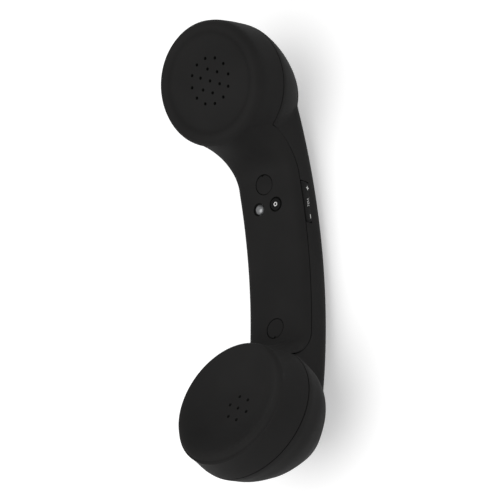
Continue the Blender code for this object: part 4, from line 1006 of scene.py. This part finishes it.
def printed_legend(where):
    """Pad-printed pale ink, thin in places."""
    thin = step(noise(where, 5200.0, 3.0), 0.30, 0.75)
    return {"Base Color": between(where, thin, (0.80, 0.80, 0.79), (0.56, 0.56, 0.55)),
            "Roughness": 0.45 + thin * 0.20}


def frosted_lens(where):
    """Milky moulded lens with a silver lining below it."""
    haze = noise(where, 900.0, 3.0)
    return {"Base Color": between(where, haze, (0.13, 0.134, 0.138), (0.31, 0.315, 0.32)),
            "Roughness": 0.22 + haze * 0.16, "height": (haze, 0.00003)}


def zinc_plate(where):
    """Bright zinc over pressed steel, with drawing marks."""
    drawn = where.node("ShaderNodeTexWave", {"wave_type": "BANDS", "bands_direction": "Z"},
                       {"Vector": where, "Scale": 1400.0, "Distortion": 6.0, "Detail": 2.0})
    cloud = noise(where, 400.0, 3.0)
    return {"Base Color": between(where, cloud, (0.50, 0.51, 0.52), (0.66, 0.66, 0.65)),
            "Roughness": 0.24 + cloud * 0.16 + drawn * 0.06, "height": (drawn, 0.000004)}


def board_laminate(where):
    """Green solder resist over copper tracks."""
    track = where.node("ShaderNodeTexBrick", None, {"Vector": where, "Scale": 260.0, "Mortar Size": 0.06,
                                                    "Color1": (0, 0, 0, 1), "Color2": (0, 0, 0, 1),
                                                    "Mortar": (1, 1, 1, 1)}, 1)
    glass = noise(where, 1800.0, 2.0)
    tone = track * 0.7 + glass * 0.2
    return {"Base Color": between(where, tone, (0.010, 0.085, 0.035), (0.030, 0.180, 0.070)),
            "Roughness": 0.32 + glass * 0.15, "height": (track, 0.00003)}


def chip_plastic(where):
    """Black moulding compound, finely eroded."""
    grit = noise(where, 5000.0, 3.0, 0.7)
    return {"Base Color": between(where, grit, (0.012, 0.012, 0.013), (0.030, 0.030, 0.031)),
            "Roughness": 0.45 + grit * 0.20, "height": (grit, 0.00002)}


def open_foam(where):
    """Dark grey open-cell foam."""
    cell = where.node("ShaderNodeTexVoronoi", None, {"Vector": where, "Scale": 2200.0})
    return {"Base Color": between(where, cell, (0.05, 0.05, 0.055), (0.17, 0.17, 0.18)),
            "Roughness": 0.85 + cell * 0.10, "height": (cell, 0.0002)}


def woven_cloth(where):
    """Black dust cloth behind the ear's sound holes."""
    warp, weft = (where.node("ShaderNodeTexWave", {"wave_type": "BANDS", "bands_direction": across},
                             {"Vector": where, "Scale": 900.0, "Distortion": 0.6}) for across in "XY")
    weave = warp * 0.5 + weft * 0.5
    return {"Base Color": between(where, weave, (0.004, 0.004, 0.004), (0.012, 0.012, 0.012)),
            "Roughness": 0.85 + weave * 0.10, "height": (weave, 0.00005)}


def moulded_rubber(where):
    """Black rubber with a dusting of talc."""
    talc = step(noise(where, 700.0, 4.0, 0.6), 0.5, 0.8)
    return {"Base Color": between(where, talc, (0.020, 0.020, 0.020), (0.060, 0.060, 0.060)),
            "Roughness": 0.70 + talc * 0.20, "height": (talc, 0.00003)}


def amber_film(where):
    """Thin amber film of the diaphragm, a little cloudy."""
    cloud = noise(where, 300.0, 2.0)
    return {"Base Color": between(where, cloud, (0.62, 0.54, 0.36), (0.78, 0.72, 0.56)),
            "Roughness": 0.28 + cloud * 0.1}


def cell_foil(where):
    """Laminated foil of the flat cell, faintly creased."""
    crease = noise(where, 260.0, 5.0, 0.6)
    return {"Base Color": between(where, crease, (0.52, 0.53, 0.54), (0.70, 0.71, 0.72)),
            "Roughness": 0.22 + crease * 0.2, "height": (crease, 0.0002)}


def wire_skin(where):
    """Red insulation with a slight haze."""
    haze = noise(where, 900.0, 2.0)
    return {"Base Color": between(where, haze, (0.38, 0.02, 0.02), (0.55, 0.05, 0.04)),
            "Roughness": 0.38 + haze * 0.15}


def lamp_body(where):
    """White body of the indicator's lamp."""
    haze = noise(where, 1500.0, 2.0)
    return {"Base Color": between(where, haze, (0.78, 0.78, 0.72), (0.90, 0.90, 0.86)),
            "Roughness": 0.30 + haze * 0.15}


def finishes():
    """Every material by its name, which is the record's slot for all but the ink and the dust cloth."""
    recipes = {
        "soft_touch": ({"Specular IOR Level": 0.035}, soft_touch_paint),
        "key_plastic": ({"Specular IOR Level": 0.05}, key_plastic),
        "lens_plastic": ({"Coat Weight": 0.12, "Coat Roughness": 0.15, "Metallic": 0.5}, frosted_lens),
        "lamp_plastic": ({}, lamp_body),
        "board_laminate": ({"Coat Weight": 0.3}, board_laminate),
        "chip_plastic": ({}, chip_plastic),
        "zinc_steel": ({"Metallic": 1.0}, zinc_plate),
        "grey_foam": ({}, open_foam),
        "black_rubber": ({"Specular IOR Level": 0.4}, moulded_rubber),
        "diaphragm_film": ({"Coat Weight": 0.4}, amber_film),
        "cell_foil": ({"Metallic": 0.85}, cell_foil),
        "wire_red": ({}, wire_skin),
        "printed_ink": ({}, printed_legend),
        "dust_cloth": ({"Specular IOR Level": 0.1}, woven_cloth)}
    return {name: finish(name, fixed, paint) for name, (fixed, paint) in recipes.items()}


def dress_nodes(mats):
    """Give every CAD node the material of its slot in the record."""
    for entry in frame["record"]["subparts"]:
        node = frame["nodes"][entry["node"]]
        node.data.materials.clear()
        node.data.materials.append(mats[entry["material_slot"]])


def settle(ob, body, mat, sharp=CREASE):
    """Move a piece from the maker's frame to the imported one, shade it smoothly and let it ride."""
    ob.location += SHIFT
    ob.data.materials.clear()
    ob.data.materials.append(mat)
    ob.data.shade_smooth()
    ob.data.set_sharp_from_angle(angle=math.radians(sharp))
    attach(ob, body)
    return ob


def round_edge(radius, top, edge, steps=5):
    """Profile points of a quarter round between a side and a top."""
    turns = [math.pi / 2 * i / steps for i in range(steps + 1)]
    return [(radius - edge * (1 - math.cos(a)), top - edge * (1 - math.sin(a))) for a in turns]


def plug_cap(end, frame):
    """Screw plug with a rounded edge and the notch by which it is lifted out."""
    cap = turned(f"plug_cap_{end}", frame,
                 [(PLUG_SPIGOT, -RECESS_DEPTH - PLUG_THICKNESS), (PLUG_SPIGOT, -PLUG_THICKNESS),
                  (PLUG_RADIUS, -PLUG_THICKNESS)] + round_edge(PLUG_RADIUS, 0.0, PLUG_EDGE)
                 + [(PLUG_RADIUS * share, 0.0) for share in (0.8, 0.5, 0.2)])
    side = 1 if end == "ear" else -1
    carve(cap, rod("notch", frame @ place(0.0, side * PLUG_RADIUS), NOTCH_RADIUS, -PLUG_THICKNESS / 2,
                   WALL, SMALL_SIDES))
    return cap


def dust_cloth():
    """Thin cloth glued behind the ear's sound holes, domed a little between its glued edge."""
    rows = [(CLOTH_RADIUS, 0.0)] + [(CLOTH_RADIUS * share, -CLOTH_SAG * (1 - share * share))
                                    for share in (0.97, 0.8, 0.6, 0.4, 0.2, 0.08)]
    top = -WALL - CLOTH_GLUE
    profile = ([(radius, top - CLOTH_THICKNESS + sag) for radius, sag in reversed(rows)]
               + [(radius, top + sag) for radius, sag in rows])
    return turned("ear_dust_cloth", cap_frame(EAR), profile)


def answer_key():
    """Answer key: rounded crown with a shallow finger dish, flange and stem."""
    frame = face_frame(CONTROL_X, CONTROL_Y)
    switch_top = BOARD_TOP + FIT + SWITCH_HEIGHT + SWITCH_PLUNGER
    stem = switch_top + PRESS_GAP - face_height(CONTROL_Y)
    crown = BUTTON_RADIUS - KEY_STEP
    dish = [(crown * share, BUTTON_PROUD - KEY_DISH * (1 - (share / DISH_REACH) ** 2))
            for share in (DISH_REACH, 0.7, 0.55, 0.4, 0.25, 0.12)]
    return turned("answer_key", frame,
                  [(STEM_RADIUS, stem), (STEM_RADIUS, FLANGE_TOP - FLANGE_THICKNESS),
                   (BUTTON_FLANGE, FLANGE_TOP - FLANGE_THICKNESS), (BUTTON_FLANGE, FLANGE_TOP),
                   (BUTTON_RADIUS, FLANGE_TOP), (BUTTON_RADIUS, -KEY_MOAT), (crown, -KEY_MOAT + KEY_EDGE / 2)]
                  + round_edge(crown, BUTTON_PROUD, KEY_EDGE) + dish)


def ring_icon():
    """Printed ring in the middle of the answer key, lying in its dish."""
    frame = face_frame(CONTROL_X, CONTROL_Y)
    low = BUTTON_PROUD - KEY_DISH - INK / 2
    return pipe("ring_icon", frame, RING_OUTER, RING_INNER, low, low + 2 * INK)


def indicator_dome():
    """Indicator lens: a full smooth dome over its flange and light pipe."""
    frame = face_frame(-CONTROL_X, CONTROL_Y)
    pipe_end = BOARD_TOP + FIT + LED_SIZE[2] + FIT - face_height(CONTROL_Y)
    turns = [i * math.pi / 2 / DOME_STEPS for i in range(DOME_STEPS)]
    rise = LENS_DOME - LENS_CHAMFER + LENS_SINK
    dome = [(LENS_RADIUS * math.cos(a), rise * math.sin(a) - LENS_SINK) for a in turns]
    return turned("indicator_dome", frame,
                  [(LIGHT_PIPE_RADIUS, pipe_end), (LIGHT_PIPE_RADIUS, FLANGE_TOP - FLANGE_THICKNESS),
                   (LENS_FLANGE, FLANGE_TOP - FLANGE_THICKNESS), (LENS_FLANGE, FLANGE_TOP),
                   (LENS_RADIUS, FLANGE_TOP)] + dome)


def hollow(share):
    """Depth of a finger hollow, by the share of the way from the rocker's middle to its end."""
    return ROCKER_HOLLOW * math.sin(math.pi * min(share * HOLLOW_RUN, 1.0)) ** 2


def rocker_bar():
    """Volume rocker: bar with rounded edges and two shallow finger hollows, pivot pin, web and pushers."""
    wall = HANDLE_WIDTH / 2
    pivot = place(wall - PIVOT_INSET, ROCKER_Y)
    outside = PIVOT_INSET + ROCKER_PROUD
    rings = []
    for i in range(ROCKER_ROWS + 1):
        run = 2 * i / ROCKER_ROWS - 1
        y = run * ROCKER_LENGTH / 2
        draw = ROCKER_EDGE * max(0.0, 1 - (1 - abs(run)) * ROCKER_ROWS / 2) ** 2
        out = outside - hollow(abs(run)) - draw
        top = seam_height(ROCKER_Y + y) - FIT
        half_z = (top - ROCKER_BOTTOM) / 2
        section = []
        for turn in range(ROCKER_TURNS + 1):
            a = math.pi / 2 - math.pi * turn / ROCKER_TURNS
            bulge = abs(math.cos(a)) ** ROCKER_ROUNDNESS
            section.append(Vector((out - ROCKER_EDGE * (1 - bulge), y,
                                   ROCKER_BOTTOM + half_z + (half_z - draw) * math.sin(a))))
        back = outside - ROCKER_THICKNESS
        section += [Vector((back, y, ROCKER_BOTTOM + draw)), Vector((back, y, top - draw))]
        rings.append(section)
    bar = loft("rocker_bar", rings)
    bar.matrix_world = pivot
    low = ROCKER_BOTTOM - FIT - 1.5 * PIVOT_RADIUS
    reach = outside - ROCKER_THICKNESS / 2
    join(bar, rod("pin", pivot, PIVOT_RADIUS, low, ROCKER_TOP - FIT, SMALL_SIDES))
    web = (reach, WEB_THICKNESS, ROCKER_HEIGHT - 2 * WEB_INSET)
    join(bar, block("web", pivot @ place(reach / 2, 0.0), web, ROCKER_BOTTOM + WEB_INSET))
    tip_x = side_switch_face() + PRESS_GAP - (wall - PIVOT_INSET)
    pusher = (reach - tip_x, PUSHER_SIZE, PUSHER_SIZE)
    pusher_low = BOARD_TOP + FIT + (SIDE_SWITCH_HEIGHT - PUSHER_SIZE) / 2
    for sign in (-1, 1):
        join(bar, block("pusher", pivot @ place((tip_x + reach) / 2, sign * PUSHER_OFFSET), pusher,
                        pusher_low))
    return bar


def rocker_face(y):
    """Outside of the rocker at a place along the handset."""
    return HANDLE_WIDTH / 2 + ROCKER_PROUD - hollow(abs(y - ROCKER_Y) / (ROCKER_LENGTH / 2))


def legend(name, words, size, weight, spacing, y, z):
    """Printed words on the rocker, read along the handset from the ear end."""
    text = bpy.data.curves.new(name, "FONT")
    text.body = words
    text.size = size
    text.align_x = "CENTER"
    text.align_y = "CENTER"
    text.extrude = INK
    text.offset = weight
    text.space_character = spacing
    text.resolution_u = 6
    ob = link(name, text)
    mesh = evaluated(ob)
    bpy.data.objects.remove(ob, do_unlink=True)
    printed = link(name, mesh)
    turn = Matrix(((0, 0, 1), (-1, 0, 0), (0, -1, 0))).to_4x4()
    printed.matrix_world = place(rocker_face(y), y, z) @ turn
    return printed


def dress_handset(mats):
    """Finer shells, plugs, keys and lens in place of the plain solids, and the legends."""
    paint = mats["soft_touch"]
    key = mats["key_plastic"]
    ink = mats["printed_ink"]
    front = settle(front_moulding(), "handset", paint, SHELL_CREASE)
    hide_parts("front_shell")
    back = settle(back_moulding(), "handset", paint, SHELL_CREASE)
    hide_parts("back_shell")
    for end, frame_at in plug_frames().items():
        cap = settle(plug_cap(end, frame_at), "handset", paint)
        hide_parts(f"screw_plug_{end}")
    settle(dust_cloth(), "handset", mats["dust_cloth"])
    pressed = settle(answer_key(), "answer_button", key)
    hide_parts("answer_button")
    settle(ring_icon(), "answer_button", ink)
    dome = settle(indicator_dome(), "handset", mats["lens_plastic"])
    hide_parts("indicator_lens")
    bar = settle(rocker_bar(), "volume_rocker", key)
    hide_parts("volume_rocker")
    for print_values in LEGENDS:
        settle(legend(*print_values), "volume_rocker", ink)


def table_glow(where):
    """Glow that the camera sees, straight, in reflections and through glass, and that lights nothing."""
    camera, gloss, glass = (where.node("ShaderNodeLightPath", output=f"Is {ray} Ray")
                            for ray in ("Camera", "Glossy", "Transmission"))
    return {"Emission Color": between(where, camera + gloss + glass, (0.0, 0.0, 0.0), (1.0, 1.0, 1.0))}


def stage():
    """Pale table with the handset's soft shadow on it."""
    paper = finish("table_paper", {"Base Color": (TABLE_GREY, TABLE_GREY, TABLE_GREY, 1.0),
                                   "Roughness": TABLE_ROUGHNESS, "Emission Strength": TABLE_LIFT}, table_glow)
    corners = [(x, y, 0.0) for x in (-TABLE_REACH, TABLE_REACH) for y in (-TABLE_REACH, TABLE_REACH)]
    table = link("table", mesh_from("table", corners, [(0, 1, 3, 2)]))
    table.data.materials.append(paper)


def softbox():
    """Round area lamp above the table."""
    light = bpy.data.lights.new("softbox", "AREA")
    light.shape = "DISK"
    light.size = LAMP_SIZE
    light.energy = LAMP_POWER
    ob = link("softbox", light)
    ob.location = LAMP_PLACE
    ob.rotation_euler = (Vector(LAMP_TARGET) - Vector(LAMP_PLACE)).to_track_quat("-Z", "Y").to_euler()


def light_and_camera():
    """Even pale world, one lamp, and the camera of the photograph."""
    scene = bpy.context.scene
    scene.view_settings.view_transform = "Standard"
    world = bpy.data.worlds.new("studio")
    world.use_nodes = True
    sky = world.node_tree.nodes["Background"]
    sky.inputs["Color"].default_value = (1.0, 1.0, 1.0, 1.0)
    sky.inputs["Strength"].default_value = SKY_STRENGTH
    scene.world = world
    softbox()
    view = bpy.data.cameras.new("camera")
    view.lens = CAMERA_LENS
    view.sensor_width = CAMERA_SENSOR
    view.clip_start, view.clip_end = CAMERA_REACH
    camera = link("camera", view)
    turn = Matrix(CAMERA_TURN).transposed().to_4x4()
    camera.matrix_world = Matrix.Translation(Vector(CAMERA_PLACE) + SHIFT) @ turn
    scene.camera = camera


def frame_shift():
    """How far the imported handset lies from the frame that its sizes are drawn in."""
    low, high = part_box("main_board")
    return Vector((0.0, (low.y + high.y) / 2 - (BOARD_EAR + BOARD_MOUTH) / 2, high.z - BOARD_TOP))


SHIFT = frame_shift()


light_and_camera()
stage()
materials = finishes()
dress_nodes(materials)
dress_handset(materials)
